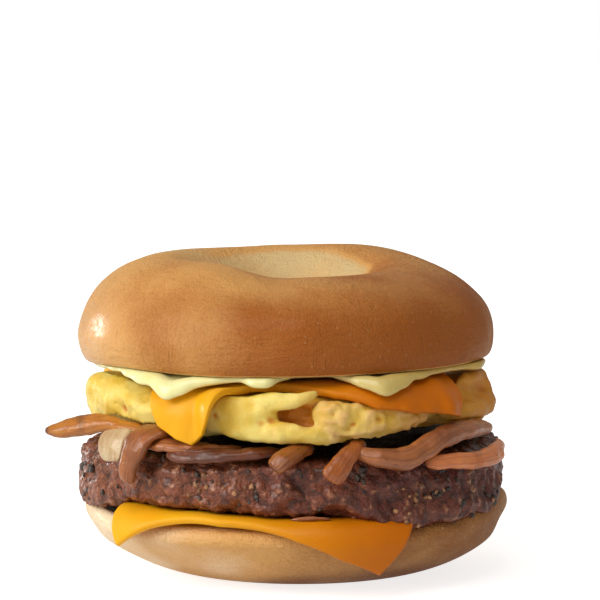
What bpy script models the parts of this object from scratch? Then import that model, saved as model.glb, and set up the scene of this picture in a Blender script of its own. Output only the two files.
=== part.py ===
"""A bagel sandwich with two cheese slices, a folded egg, onion strips, a beef patty and sauce.

Lengths are metres. Every layer is modelled upright round the stack's own axis, on top of the one
below it, with a small gap between them. settled() then leans the whole stack, so the gaps stay.
Places round the stack are given as an azimuth in degrees (270 is the front), a radius and a height.
"""

import math
import random

import bmesh
import bpy
from mathutils import Matrix, Vector, noise

MM = 0.001
GAP = 0.3 * MM
DRAPE_GAP = 0.5 * MM
SLACK = 0.4 * MM
EGG_SLACK = 0.7 * MM
HANG_RADIUS = 42 * MM
SLICE = 2.2 * MM

# Heights of the stack, from the table up
HEEL_TOP = 17.2 * MM
PATTY_BOTTOM = HEEL_TOP + DRAPE_GAP + SLICE + GAP
PATTY_TOP = PATTY_BOTTOM + 14.6 * MM
EGG_BOTTOM = PATTY_TOP + 5.2 * MM
EGG_TOP = EGG_BOTTOM + 10.6 * MM
SPREAD_THICK = 1.2 * MM
SPREAD_LIFT = DRAPE_GAP + SLICE + GAP
CROWN_BOTTOM = EGG_TOP + SPREAD_LIFT + SPREAD_THICK + GAP
CROWN_HEIGHT = 25.8 * MM

# The bagel, which both halves share
BAGEL_RADIUS = 55.0 * MM
CROWN_RADIUS = 53.6 * MM
CROWN_RIM = 51.6 * MM
CREST_RADIUS = 30.0 * MM
HOLE_RADIUS = 10.8 * MM
HEEL_FLAT = 50.2 * MM
HEEL_FOOT = 28.0 * MM
HEEL_FOOT_INNER = 20.0 * MM
HEEL_LIP = 3.3 * MM
HEEL_LIP_AT = 342

PATTY_RADIUS = 55.7 * MM
PATTY_ROUND = 4.5 * MM
EGG_RADIUS = 51.5 * MM
EGG_FLAT = 43.0 * MM
EGG_SHOULDER = 5.6 * MM

# How the stack leans, and where its axis stands so that the whole sandwich is centred on the origin
LEAN = 0.06
TILT = 0.26
SWAY = 0.7 * MM
SWAY_LENGTH = 42 * MM
STACK_X = 5.3 * MM
STACK_Y = 1.3 * MM

CRUST = (0.52, 0.26, 0.09)
CRUST_PALE = (0.68, 0.43, 0.21)
BEEF = (0.09, 0.035, 0.025)
EGG_YELLOW = (0.83, 0.58, 0.16)
CHEESE_ORANGE = (0.83, 0.36, 0.02)
SAUCE = (0.80, 0.75, 0.40)
ONION_BROWN = (0.42, 0.17, 0.06)
ONION_PALE = (0.70, 0.52, 0.30)

# The edge of each cheese slice, as places of azimuth and distance from the axis along the slice in mm
LOWER_EDGE = ((211, 51), (218, 61), (230, 56.8), (250, 55), (270, 56.8), (282, 60.5),
              (293.3, 64.8), (301.5, 55), (306, 50), (313, 46.5), (345, 44.5), (15, 48.5),
              (27, 53), (38, 60), (55, 50.5), (84, 48.5), (102, 52.5), (117, 61),
              (138, 50.5), (175, 47))
UPPER_EDGE = ((229, 48), (238, 54), (246, 61), (251.5, 56), (259, 50), (267, 46.5),
              (275, 47.5), (283, 51), (299, 50.2), (310, 51.5), (320.5, 55.8), (328, 47),
              (350, 41), (20, 42.5), (40, 50), (54, 58), (72, 48), (103, 41.5),
              (132, 47.5), (150, 57), (168, 46), (200, 41))

# How far out the rings of each draped sheet lie in mm, close together where it bends over an edge
LOWER_RINGS = (0, 48, 51, 53, 54.8, 56.6, 59, 64)
UPPER_RINGS = (0, 30, 41, 44, 46.6, 49.2, 51.8, 55)
SAUCE_RINGS = (13.5, 42, 45.5, 48.5, 51.4)
CROWDING = 0.4 * MM

# Onion strips: name, width, thickness, colour, and route as azimuth, radius and height over the patty
STRIPS = (
    ("onion_far_left", 4.2, 4.2, ONION_BROWN,
     ((201, 66.5, 4.3), (205, 60.5, 6.2), (210, 56.3, 7.3), (219, 52.2, 7.2), (223, 48, 6.4))),
    ("onion_petal", 6.6, 3.0, ONION_PALE,
     ((214, 45, 1.9), (213.5, 51, 2.9), (215, 56.0, 2.3), (216.5, 58.4, -0.6))),
    ("onion_left_drip", 6.2, 3.2, ONION_BROWN,
     ((231, 45, 4.6), (230.5, 52, 5.4), (229.5, 57, 3.4), (228, 59.2, -0.9), (227, 59.5, -4.6))),
    ("onion_left_back", 4.4, 2.6, ONION_BROWN,
     ((236, 50.0, 1.7), (243, 50.5, 1.7), (250, 50.0, 1.7), (257, 45, 1.7))),
    ("onion_front_flat", 4.6, 2.6, ONION_BROWN,
     ((237, 55.2, 1.3), (245, 55.9, 0.9), (253, 55.5, 1.1), (260, 53.4, 1.8), (266, 49, 1.8))),
    ("onion_front_stub", 5.2, 3.0, ONION_BROWN,
     ((274, 38, 1.8), (273, 47, 1.8), (270.5, 53, 2.0), (267, 57.4, 0.4), (264.8, 59.9, -1.4))),
    ("onion_middle_drip", 5.5, 3.4, ONION_BROWN,
     ((290, 38, 2.1), (289, 47, 2.3), (286, 53, 2.6), (281.5, 57.8, 0.2), (278, 60.0, -3.8))),
    ("onion_right_long", 5.8, 4.4, ONION_BROWN,
     ((289.8, 55.6, 0.8), (294, 57.4, 0.0), (301.5, 58.0, 0.4), (314, 56.0, 1.9), (326, 54.6, 2.6),
      (336.5, 53.4, 2.5))),
    ("onion_right_low", 4.3, 3.0, ONION_BROWN,
     ((307, 58.0, -2.9), (317, 58.8, -2.9), (327, 58.8, -2.7), (337.5, 58.4, -1.9))),
    ("onion_back_right", 5.2, 3.2, ONION_BROWN,
     ((20, 38, 2.0), (22, 45, 2.1), (27, 50, 2.2), (33, 53.5, 1.8))),
    ("onion_back_bar", 5.0, 3.4, ONION_BROWN,
     ((42, 51, 2.1), (50, 53.5, 2.3), (58, 56.5, 1.0), (64, 58.5, -1.4))),
    ("onion_back_middle", 5.4, 3.2, ONION_PALE,
     ((80, 38, 2.0), (81, 46, 2.2), (82, 53, 2.1), (84, 57.4, 0.2))),
    ("onion_back_long", 5.6, 3.6, ONION_BROWN,
     ((97, 57.4, 0.2), (106, 55.6, 2.0), (118, 52.5, 2.4), (130, 48.0, 2.2))),
    ("onion_back_drip", 5.4, 3.2, ONION_BROWN,
     ((143, 40, 2.0), (143, 49, 2.2), (144, 56.2, 1.6), (145, 59.2, -4.4))),
    ("onion_back_left", 4.8, 3.0, ONION_BROWN,
     ((156, 46, 1.9), (160, 51, 2.2), (165, 54.6, 1.6), (170, 56.0, 1.0))),
)

# Sauce that comes out under the crown: azimuth, half width in degrees, extra reach in mm
SAUCE_RUNS = ((199, 20, 3.6), (222, 14, 4.6), (236, 13, 6.4), (250, 13, 4.4), (262, 9, 3.6),
              (287, 7, 2.8), (298, 13, 6.6), (312, 12, 4.8), (330, 12, 5.6), (20, 17, 5.0),
              (68, 15, 6.0), (112, 17, 4.4), (152, 15, 5.6))
SAUCE_REACH = 45.0 * MM
SAUCE_BEAD = 1.8 * MM
SAUCE_LIP = 0.35

# Sides of each turned solid, and of each slice between two of its places
HEEL_STEPS = 46
CROWN_STEPS = 46
PATTY_STEPS = 84
EGG_STEPS = 72
SAUCE_STEPS = 66
LOWER_STEPS_BETWEEN = 3
UPPER_STEPS_BETWEEN = 2
STRIP_SIDES = 8

SEED = 7
PEPPER_COUNT = 22
PEPPER_SIZE = 1.4 * MM
PEPPER_BED = 0.5 * MM


def clamp(value):
    """value kept between 0 and 1."""
    return max(0.0, min(1.0, value))


def ease(value, low, high):
    """0 below low, 1 above high, and a smooth rise between them."""
    share = clamp((value - low) / (high - low))
    return share * share * (3 - 2 * share)


def bump(azimuth, centre, half_width):
    """A smooth hump round the stack, 1 at centre and 0 beyond half_width degrees."""
    apart = abs((azimuth - centre + 180) % 360 - 180)
    return 1 - ease(apart, 0, half_width)


def around(azimuth, radius, height):
    """The point at an azimuth in degrees, a radius and a height."""
    angle = math.radians(azimuth)
    return Vector((radius * math.cos(angle), radius * math.sin(angle), height))


def settled(point):
    """Where a point of the upright stack lies once the sandwich has leaned and sagged a little."""
    x, y, z = point
    free = ease(z, 0, 12 * MM)
    sway = noise.noise_vector(Vector((x, y, z)) / SWAY_LENGTH) * SWAY * free
    return Vector((x - LEAN * z + sway.x, y + sway.y, z * (1 + TILT * x)))


def arc(start, end, flat_first, power=2.0, steps=6):
    """Points of a quarter of a superellipse after start, up to end. flat_first leaves start level."""
    points = []
    for step in range(1, steps + 1):
        angle = math.pi / 2 * step / steps
        across, along = math.sin(angle) ** (2 / power), math.cos(angle) ** (2 / power)
        if step == steps:
            across, along = 1.0, 0.0
        if flat_first:
            out, up = start[0] + (end[0] - start[0]) * across, end[1] + (start[1] - end[1]) * along
        else:
            out, up = end[0] + (start[0] - end[0]) * along, start[1] + (end[1] - start[1]) * across
        points.append((out, up))
    return points


def straight(start, end, steps):
    """Points of a straight run after start, up to end."""
    shares = [step / steps for step in range(1, steps + 1)]
    return [(start[0] + (end[0] - start[0]) * s, start[1] + (end[1] - start[1]) * s) for s in shares]


def crown_outline():
    """The upper half's section, from its crest down the outer side, under it and up through the hole."""
    top, wide = (CREST_RADIUS, CROWN_HEIGHT), (CROWN_RADIUS, 4.8 * MM)
    rim, hole, throat = (CROWN_RIM, 0.0), (HOLE_RADIUS, 0.0), (HOLE_RADIUS, 7.0 * MM)
    points = [top]
    points += arc(top, wide, True, 2.05, 8)
    points += arc(wide, rim, False, 2.0, 3)
    points += straight(rim, hole, 2)
    points += straight(hole, throat, 1)
    points += arc(throat, top, False, 1.7, 7)[:-1]
    return [(r, CROWN_BOTTOM + z) for r, z in points]


def heel_outline():
    """The lower half's section, from the cut's inner edge out, down to the foot and up the hole."""
    inner, rim, wide = (HOLE_RADIUS, HEEL_TOP), (52.2 * MM, HEEL_TOP), (BAGEL_RADIUS, 14.2 * MM)
    foot, foot_inner = (HEEL_FOOT, 0.0), (HEEL_FOOT_INNER, 0.0)
    throat = (HOLE_RADIUS, 9.0 * MM)
    points = [inner]
    points += straight(inner, (HEEL_FLAT, HEEL_TOP), 2) + [rim]
    points += arc(rim, wide, True, 2.0, 3)
    points += arc(wide, foot, False, 1.55, 7)
    points += straight(foot, foot_inner, 1)
    points += arc(foot_inner, throat, True, 2.0, 3)
    return points


def patty_outline():
    """The patty's section, from the middle of its top out, round its side and back under it."""
    inside = PATTY_RADIUS - PATTY_ROUND
    top, shoulder = (inside, PATTY_TOP), (PATTY_RADIUS, PATTY_TOP - PATTY_ROUND)
    hip, bottom = (PATTY_RADIUS, PATTY_BOTTOM + PATTY_ROUND), (inside, PATTY_BOTTOM)
    points = [(0.0, PATTY_TOP), (32 * MM, PATTY_TOP), (44 * MM, PATTY_TOP), top]
    points += arc(top, shoulder, True, 2.0, 3)
    points += straight(shoulder, hip, 3)
    points += arc(hip, bottom, False, 2.0, 3)
    points += [(44 * MM, PATTY_BOTTOM), (0.0, PATTY_BOTTOM)]
    return points


def egg_outline():
    """The egg's section before its folds: flat on top, round at the side, resting on the patty."""
    top, side = (EGG_FLAT, EGG_TOP), (EGG_RADIUS, EGG_TOP - EGG_SHOULDER)
    hem = (46 * MM, EGG_BOTTOM)
    points = [(0.0, EGG_TOP), (36 * MM, EGG_TOP), top]
    points += arc(top, side, True, 2.0, 5)
    points += arc(side, hem, False, 2.0, 4)
    points += [(37 * MM, EGG_BOTTOM), (28 * MM, EGG_BOTTOM)]
    points += [(19 * MM, PATTY_TOP + GAP), (0.0, PATTY_TOP + GAP)]
    return points


class Mantle:
    """The outline that a slice or a sauce lies over: walked by its length from the axis outwards."""

    def __init__(self, outline, finest=0.4 * MM):
        points = [Vector((0.0, outline[0][1]))]
        for place in outline:
            gap = Vector(place) - points[-1]
            count = max(1, int(gap.length / finest))
            points += [points[-1] + gap * (step / count) for step in range(1, count + 1)]
        self.points = points
        self.walked = [0.0]
        for before, after in zip(points, points[1:]):
            self.walked.append(self.walked[-1] + (after - before).length)

    def place(self, reach):
        """The radius and height at that length along the outline."""
        low, high = 0, len(self.walked) - 1
        while high - low > 1:
            middle = (low + high) // 2
            low, high = (middle, high) if self.walked[middle] <= reach else (low, middle)
        run = self.walked[high] - self.walked[low]
        return self.points[low].lerp(self.points[high], (reach - self.walked[low]) / run)

    def over(self, azimuth, reach, lift):
        """The point that far along the outline and lift above it."""
        here = self.place(reach)
        along = self.place(reach + 1.5 * MM) - self.place(max(0.0, reach - 1.5 * MM))
        outward = Vector((-along.y, along.x)).normalized()
        return around(azimuth, here.x + outward.x * lift, here.y + outward.y * lift)


def heel_mantle():
    """The heel as the lower slice meets it, rounder at the rim than the heel itself."""
    rim, wide = (51.6 * MM, HEEL_TOP + 0.1 * MM), (BAGEL_RADIUS + 0.4 * MM, 13.4 * MM)
    points = [(0.0, HEEL_TOP), rim] + arc(rim, wide, True, 2.5, 10)
    return Mantle(points + arc(wide, (HANG_RADIUS, 0.0), False, 1.7, 16))


def egg_mantle():
    """The egg as the upper slice and the sauce meet it."""
    top, side = (EGG_FLAT, EGG_TOP), (EGG_RADIUS, EGG_TOP - EGG_SHOULDER)
    points = [(0.0, EGG_TOP), top] + arc(top, side, True, 2.0, 12)
    return Mantle(points + straight(side, (EGG_RADIUS, PATTY_TOP), 4))


def slice_edge(edge, azimuth):
    """How far a slice reaches from the axis at an azimuth, with straight runs between its places."""
    plan = [around(place_azimuth, reach * MM, 0.0) for place_azimuth, reach in edge]
    ray = around(azimuth, 1.0, 0.0)
    for first, second in zip(plan, plan[1:] + plan[:1]):
        side = second - first
        turn = ray.x * side.y - ray.y * side.x
        share = (first.x * ray.y - first.y * ray.x) / turn
        reach = (first.x * side.y - first.y * side.x) / turn
        if reach > 0 and -1e-4 <= share <= 1 + 1e-4:
            return reach
    return 0.0


def at_places(edge, azimuth):
    """An azimuth moved so that even steps round a turned disc fall on each of a slice's places."""
    index, share = divmod(azimuth % 360 / 360 * len(edge), 1)
    first, second = edge[int(index)][0], edge[(int(index) + 1) % len(edge)][0]
    return (first + ((second - first) % 360) * share) % 360


def new_object(name, mesh, colour, roughness):
    """An object with a material of its own, linked to the sandwich's collection."""
    made = bpy.data.objects.new(name, mesh)
    paint = bpy.data.materials.new(name)
    paint.use_nodes = True
    shader = paint.node_tree.nodes["Principled BSDF"]
    shader.inputs["Base Color"].default_value = (*colour, 1.0)
    shader.inputs["Roughness"].default_value = roughness
    shader.inputs["Metallic"].default_value = 0.0
    mesh.materials.append(paint)
    bpy.data.collections["bagel_sandwich"].objects.link(made)
    made.parent = bpy.data.objects["stack"]
    return made


def turned(name, outline, steps, colour, roughness, closed=False):
    """A solid turned round the axis from its section, as a plain mesh that can be reshaped."""
    section = bpy.data.meshes.new(name + "_section")
    edges = [(i, i + 1) for i in range(len(outline) - 1)]
    if closed:
        edges.append((len(outline) - 1, 0))
    section.from_pydata([(r, 0.0, z) for r, z in outline], edges, [])
    rough = new_object(name + "_section", section, colour, roughness)
    screw = rough.modifiers.new("turn", "SCREW")
    screw.steps = screw.render_steps = steps
    screw.use_merge_vertices = True
    screw.merge_threshold = 0.01 * MM
    screw.use_normal_calculate = True
    bpy.context.view_layer.update()
    whole = bpy.data.meshes.new_from_object(rough.evaluated_get(bpy.context.evaluated_depsgraph_get()))
    bpy.data.objects.remove(rough)
    whole.materials.clear()
    body = bmesh.new()
    body.from_mesh(whole)
    bmesh.ops.recalc_face_normals(body, faces=body.faces)
    body.to_mesh(whole)
    body.free()
    return new_object(name, whole, colour, roughness)


def reshape(made, place):
    """Moves each vertex to place(azimuth, radius, height), then to where it settles."""
    for vertex in made.data.vertices:
        x, y, z = vertex.co
        azimuth = math.degrees(math.atan2(y, x)) % 360
        vertex.co = settled(place(azimuth, math.hypot(x, y), z))
    made.data.shade_smooth()
    made.data.set_sharp_from_angle(angle=math.radians(50))
    made.data.update()
    return made


def rough_at(point, scale):
    """Noise between -1 and 1 at a point, with features about scale across."""
    return noise.noise(Vector(point) / scale)


def crown_place(azimuth, radius, height):
    """The upper half, a little uneven above its cut, with a softer left shoulder."""
    above = ease(height - CROWN_BOTTOM, 1 * MM, 9 * MM)
    point = around(azimuth, radius, height)
    swell = rough_at(point, 23 * MM) * 1.1 * MM + rough_at(point, 11 * MM) * 0.35 * MM
    outward = 1.0 if radius > CREST_RADIUS else -0.5
    top = ease(height - CROWN_BOTTOM, 10 * MM, CROWN_HEIGHT)
    turn = (azimuth - 180) % 360
    low = ease(turn, 52, 92) * (1 - ease(turn, 160, 235))
    sunk = (0.7 - 3.9 * low + 0.5 * bump(azimuth, 150, 90)) * MM * top
    return around(azimuth, radius + swell * above * outward, height + swell * 0.4 * top + sunk)


def heel_place(azimuth, radius, height):
    """The lower half, a little uneven between its flat foot and its cut."""
    free = ease(height, 1 * MM, 6 * MM) * (1 - ease(height, 11 * MM, 13.5 * MM))
    point = around(azimuth, radius, height)
    swell = clamp(0.5 + 0.5 * rough_at(point, 25 * MM)) * 1.3 * MM
    outside = 1.0 if radius > CREST_RADIUS else 0.0
    at_rim = ease(radius, HEEL_FLAT, 53.5 * MM) * ease(height, 8 * MM, 16 * MM)
    lip = bump(azimuth, HEEL_LIP_AT, 36) * HEEL_LIP * at_rim
    return around(azimuth, radius - swell * free * outside, height + lip)


def crag_depth(azimuth, height):
    """How far the patty's side is broken in at a place: coarse crags with finer grain on them."""
    point = around(azimuth, PATTY_RADIUS, height)
    coarse = clamp(0.5 + 1.6 * rough_at(point, 9 * MM))
    fine = clamp(0.5 + 1.8 * rough_at(point, 4.6 * MM))
    return (1.0 * coarse + 1.5 * fine + 0.8 * bump(azimuth, 350, 30)) * MM


def patty_place(azimuth, radius, height):
    """The patty, whose side and shoulders are broken in by crags and never stand out."""
    outer = ease(radius, 44 * MM, 53 * MM)
    depth = crag_depth(azimuth, height) * outer
    point = around(azimuth, radius, height)
    dip = clamp(0.5 + 0.5 * rough_at(point, 14 * MM)) * 0.8 * MM * ease(height, PATTY_BOTTOM, PATTY_TOP)
    return around(azimuth, radius - depth, height - dip * (1 - 0.6 * outer))


def egg_swell(azimuth, height):
    """How far the egg's side stands out or folds in, in metres."""
    low = 1 - ease(height, EGG_TOP - 5 * MM, EGG_TOP - 1.5 * MM)
    lobes = bump(azimuth, 198, 30) * 1.9 + bump(azimuth, 338, 15) * 3.2 * low
    lobes += bump(azimuth, 266, 17) * 1.6 * low + bump(azimuth, 303, 15) * 1.2 * low
    lobes += (bump(azimuth, 40, 22) * 1.5 + bump(azimuth, 95, 26) * 1.6 + bump(azimuth, 120, 16)) * low
    creases = bump(azimuth, 327, 6) * 1.5 + bump(azimuth, 285, 7) * 0.8 + bump(azimuth, 66, 8) * 1.2
    mouth = bump(azimuth, 281.5, 10) * (1 - ease(abs(height - (EGG_TOP - 3.6 * MM)), 0, 2.8 * MM))
    torn = ease(azimuth, 283, 290) * (1 - ease(azimuth, 318, 328)) * low
    point = around(azimuth, EGG_RADIUS, height)
    ragged = rough_at(point, 5.5 * MM) * (0.5 + 1.2 * torn)
    return (lobes - creases * low - 5.0 * mouth + ragged * low) * MM


def egg_bulge(azimuth, height, spread=7):
    """How far the egg stands out within spread degrees, never inwards, for what lies over it."""
    near = [egg_swell(azimuth + turn, height) for turn in (-spread, 0, spread)]
    return max(0.0, max(near)) + EGG_SLACK


def egg_place(azimuth, radius, height, strips):
    """The folded egg: lobes and creases round its side, a drooping front, lifted clear of the onions."""
    side = ease(radius, 38 * MM, 48 * MM)
    middle = EGG_BOTTOM + 0.45 * (EGG_TOP - EGG_BOTTOM)
    lower = 1 - ease(height, EGG_BOTTOM, middle)
    out = radius + egg_swell(azimuth, height) * side + bump(azimuth, 340, 17) * 3.6 * MM * side * lower
    droop = (bump(azimuth, 273, 25) * 2.9 + bump(azimuth, 345, 20) * 0.6) * side * lower
    hem = rough_at(around(azimuth, radius, 0), 7 * MM) * 0.6 * side * lower
    bare = 1 - ease(slice_edge(UPPER_EDGE, azimuth), 42 * MM, 46 * MM)
    raised = ease(radius, 44 * MM, 47 * MM) * bare * (1.6 + 1.2 * bump(azimuth, 198, 24)) * (1 - lower)
    point = around(azimuth, out, height + (raised - droop + hem) * MM)
    point.z = max(point.z, clear_height(point, strips))
    return point


def clear_height(point, strips):
    """The least height at a plan point that clears the onion strips under it."""
    least = 0.0
    for centre, half_width, top in strips:
        apart = math.hypot(point.x - centre.x, point.y - centre.y) - half_width - 1.0 * MM
        if apart < 6 * MM:
            least = max(least, top + GAP - 0.9 * max(0.0, apart))
    return least


def patty_clearance(point):
    """Distance from the patty's envelope, and the direction away from it."""
    radius = math.hypot(point.x, point.y)
    middle = (PATTY_TOP + PATTY_BOTTOM) / 2
    out = radius - (PATTY_RADIUS - PATTY_ROUND)
    up = abs(point.z - middle) - ((PATTY_TOP - PATTY_BOTTOM) / 2 - PATTY_ROUND)
    away = Vector((max(out, 0.0), max(up, 0.0)))
    apart = away.length - PATTY_ROUND if away.length > 0 else max(out, up) - PATTY_ROUND
    if away.length < 1e-9:
        away = Vector((0.0, 1.0))
    away.normalize()
    ring = Vector((point.x, point.y, 0.0)).normalized()
    return apart, ring * away.x + Vector((0.0, 0.0, away.y if point.z > middle else -away.y))


def route_of(places, count):
    """Evenly numbered points along a smooth curve through a strip's places."""
    ends = [Vector(p) for p in places]
    ends = [ends[0] * 2 - ends[1]] + ends + [ends[-1] * 2 - ends[-2]]
    route = []
    spans = len(places) - 1
    for step in range(count):
        along = spans * step / (count - 1)
        span = min(int(along), spans - 1)
        a, b, c, d = ends[span:span + 4]
        t = along - span
        route.append(0.5 * (2 * b + (c - a) * t + (2 * a - 5 * b + 4 * c - d) * t * t
                            + (3 * b - 3 * c + d - a) * t ** 3))
    return [around(p.x, p.y * MM, PATTY_TOP + p.z * MM) for p in route]


def strip_frames(route, width, thickness):
    """A matrix for each point of a strip's route: width across, thickness away from the patty."""
    frames = []
    for index, centre in enumerate(route):
        along = (route[min(index + 1, len(route) - 1)] - route[max(index - 1, 0)]).normalized()
        away = patty_clearance(centre)[1]
        away = (away - along * away.dot(along)).normalized()
        across = away.cross(along)
        share = index / (len(route) - 1)
        taper = 1 - 0.35 * abs(2 * share - 1) ** 5
        turn = Matrix((across, away, along)).transposed().to_4x4()
        size = Matrix.Diagonal((width / 2 * taper, thickness / 2 * taper, 1.0, 1.0))
        frames.append(Matrix.Translation(centre) @ turn @ size)
    return frames


def strip_samples(route, width, thickness):
    """A strip's centre points with their half widths and top heights, for what lies over it."""
    return [(centre, width / 2, centre.z + thickness / 2) for centre in route]


def build_strip(name, width, thickness, colour, route):
    """One onion strip: a flattened bar that is carried along its route and kept off the patty."""
    body = bmesh.new()
    bmesh.ops.create_circle(body, cap_ends=True, segments=STRIP_SIDES, radius=1.0)
    start = end = body.faces[:][0]
    frames = strip_frames(route, width, thickness)
    bmesh.ops.transform(body, matrix=frames[0], verts=end.verts)
    for before, after in zip(frames, frames[1:]):
        grown = bmesh.ops.extrude_face_region(body, geom=[end])["geom"]
        if end is not start:
            bmesh.ops.delete(body, geom=[end], context="FACES_ONLY")
        end = [part for part in grown if isinstance(part, bmesh.types.BMFace)][0]
        bmesh.ops.transform(body, matrix=after @ before.inverted(), verts=end.verts)
    for vertex in body.verts:
        apart, away = patty_clearance(vertex.co)
        vertex.co = settled(vertex.co + away * max(0.0, GAP - apart))
    bmesh.ops.recalc_face_normals(body, faces=body.faces)
    mesh = bpy.data.meshes.new(name)
    body.to_mesh(mesh)
    body.free()
    mesh.shade_smooth()
    mesh.set_sharp_from_angle(angle=math.radians(50))
    return new_object(name, mesh, colour, 0.35)


def pushed(azimuth, point, distance):
    """The point moved straight out from the axis."""
    return point + around(azimuth, distance, 0.0)


def ring_reach(rings, edge, ring):
    """How far out a draped sheet's ring lies: where rings says, or closer in near the sheet's edge."""
    crowded = edge - (len(rings) - ring) * CROWDING
    return edge if ring >= len(rings) else min(rings[int(ring)] * MM, crowded)


def build_slice(name, mantle, edge_places, steps_between, rings, swell):
    """A cheese slice draped over what is under it, its corners hanging down outside."""
    numbers = list(range(len(rings) + 1))
    outline = [(ring, SLICE) for ring in numbers] + [(ring, 0.0) for ring in reversed(numbers)]
    cheese = turned(name, outline, len(edge_places) * steps_between, CHEESE_ORANGE, 0.3)

    def place(step_azimuth, ring, height):
        azimuth = at_places(edge_places, step_azimuth)
        edge = slice_edge(edge_places, azimuth)
        reach = ring_reach(rings, edge, round(ring))
        point = mantle.over(azimuth, reach, DRAPE_GAP + height)
        outside = ease(reach, 38 * MM, 47 * MM)
        return pushed(azimuth, point, swell(azimuth, mantle.place(reach).y) * outside)

    return reshape(cheese, place)


def sauce_run(azimuth):
    """How far the sauce reaches from the axis at an azimuth, and how thick a bead it ends in."""
    extra = max(bump(azimuth, centre, half) * reach for centre, half, reach in SAUCE_RUNS)
    return SAUCE_REACH + extra * MM, clamp(extra / 8) * SAUCE_BEAD


def build_spread(mantle, steps):
    """The sauce: a thin ring on the upper slice that runs out under the crown's edge in places."""
    numbers = list(range(len(SAUCE_RINGS) + 1))
    outline = [(1.0 + ring, 1.0) for ring in numbers] + [(1.0 + ring, 0.0) for ring in reversed(numbers)]
    sauce = turned("spread", outline, steps, SAUCE, 0.25, closed=True)

    def place(azimuth, radius, side):
        ring = round(radius - 1)
        edge, bead = sauce_run(azimuth)
        reach = ring_reach(SAUCE_RINGS, edge, ring)
        thick = SPREAD_THICK + bead * ease(reach, 45 * MM, 49 * MM)
        if ring == len(SAUCE_RINGS):
            thick *= SAUCE_LIP
        out = ease(reach, 38 * MM, 47 * MM)
        point = mantle.over(azimuth, reach, SPREAD_LIFT + 1.8 * SLACK * out + thick * side)
        point = pushed(azimuth, point, egg_bulge(azimuth, mantle.place(reach).y, 9) * out)
        if math.hypot(point.x, point.y) < CROWN_RADIUS + GAP:
            point.z = min(point.z, CROWN_BOTTOM - GAP)
        return point

    return reshape(sauce, place)


def season(patty):
    """Fuses cracked pepper to the patty's side with one union."""
    dice = random.Random(SEED)
    grains = bpy.data.collections.new("pepper")
    bpy.context.scene.collection.children.link(grains)
    for index in range(PEPPER_COUNT):
        azimuth = 360 * (index + 0.6 * dice.random()) / PEPPER_COUNT
        height = PATTY_BOTTOM + (3.0 + 7.5 * dice.random()) * MM
        depth = crag_depth(azimuth, height)
        grain = bmesh.new()
        bmesh.ops.create_icosphere(grain, subdivisions=1, radius=PEPPER_SIZE * dice.uniform(0.7, 1.1))
        middle = around(azimuth, PATTY_RADIUS - depth - PEPPER_BED, height)
        spin = Matrix.Rotation(dice.uniform(0, math.pi), 4, "Z")
        roll = Matrix.Rotation(dice.uniform(0, 3), 4, "X")
        placed = Matrix.Translation(settled(middle)) @ spin @ roll
        bmesh.ops.transform(grain, matrix=placed, verts=grain.verts)
        mesh = bpy.data.meshes.new("pepper")
        grain.to_mesh(mesh)
        grain.free()
        grains.objects.link(bpy.data.objects.new("pepper", mesh))
        grains.objects[-1].parent = bpy.data.objects["stack"]
    union = patty.modifiers.new("season", "BOOLEAN")
    union.operation, union.solver = "UNION", "MANIFOLD"
    union.operand_type, union.collection = "COLLECTION", grains
    bpy.context.view_layer.update()
    whole = bpy.data.meshes.new_from_object(patty.evaluated_get(bpy.context.evaluated_depsgraph_get()))
    patty.modifiers.clear()
    patty.data = whole
    for grain in list(grains.objects):
        bpy.data.objects.remove(grain)
    bpy.data.collections.remove(grains)


def clear_scene():
    """Removes what the scene starts with, and makes the collection and the stack's axis."""
    for old in list(bpy.data.objects):
        bpy.data.objects.remove(old)
    home = bpy.data.collections.new("bagel_sandwich")
    bpy.context.scene.collection.children.link(home)
    axis = bpy.data.objects.new("stack", None)
    axis.location = (STACK_X, STACK_Y, 0.0)
    home.objects.link(axis)


def main():
    """Builds the sandwich from the table up."""
    noise.seed_set(SEED)
    clear_scene()
    heel = turned("bagel_heel", heel_outline(), HEEL_STEPS, CRUST_PALE, 0.55, closed=True)
    reshape(heel, heel_place)
    lower = (LOWER_EDGE, LOWER_STEPS_BETWEEN, LOWER_RINGS)
    build_slice("cheese_lower", heel_mantle(), *lower, lambda azimuth, height: 0.0)
    patty = reshape(turned("patty", patty_outline(), PATTY_STEPS, BEEF, 0.5), patty_place)
    season(patty)
    samples = []
    for name, width, thickness, colour, places in STRIPS:
        build_strip(name, width * MM, thickness * MM, colour, route_of(places, 7 + len(places) // 5))
        samples += strip_samples(route_of(places, 24), width * MM, thickness * MM)
    egg = turned("egg", egg_outline(), EGG_STEPS, EGG_YELLOW, 0.45)
    reshape(egg, lambda azimuth, radius, height: egg_place(azimuth, radius, height, samples))
    mantle = egg_mantle()
    upper = (UPPER_EDGE, UPPER_STEPS_BETWEEN, UPPER_RINGS)
    build_slice("cheese_upper", mantle, *upper, egg_bulge)
    build_spread(mantle, SAUCE_STEPS)
    crown = turned("bagel_crown", crown_outline(), CROWN_STEPS, CRUST, 0.4, closed=True)
    reshape(crown, crown_place)


main()
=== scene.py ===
"""A bagel sandwich on a pale table: the dressed layers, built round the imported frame.

Lengths are metres. Each layer is shaped upright round the stack's own axis, and Stack.settled() then
leans it as the frame's solids lean. Places are an azimuth in degrees (270 is the front), a radius and
a height. Places in the tables of this file are in millimetres.
"""

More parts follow.
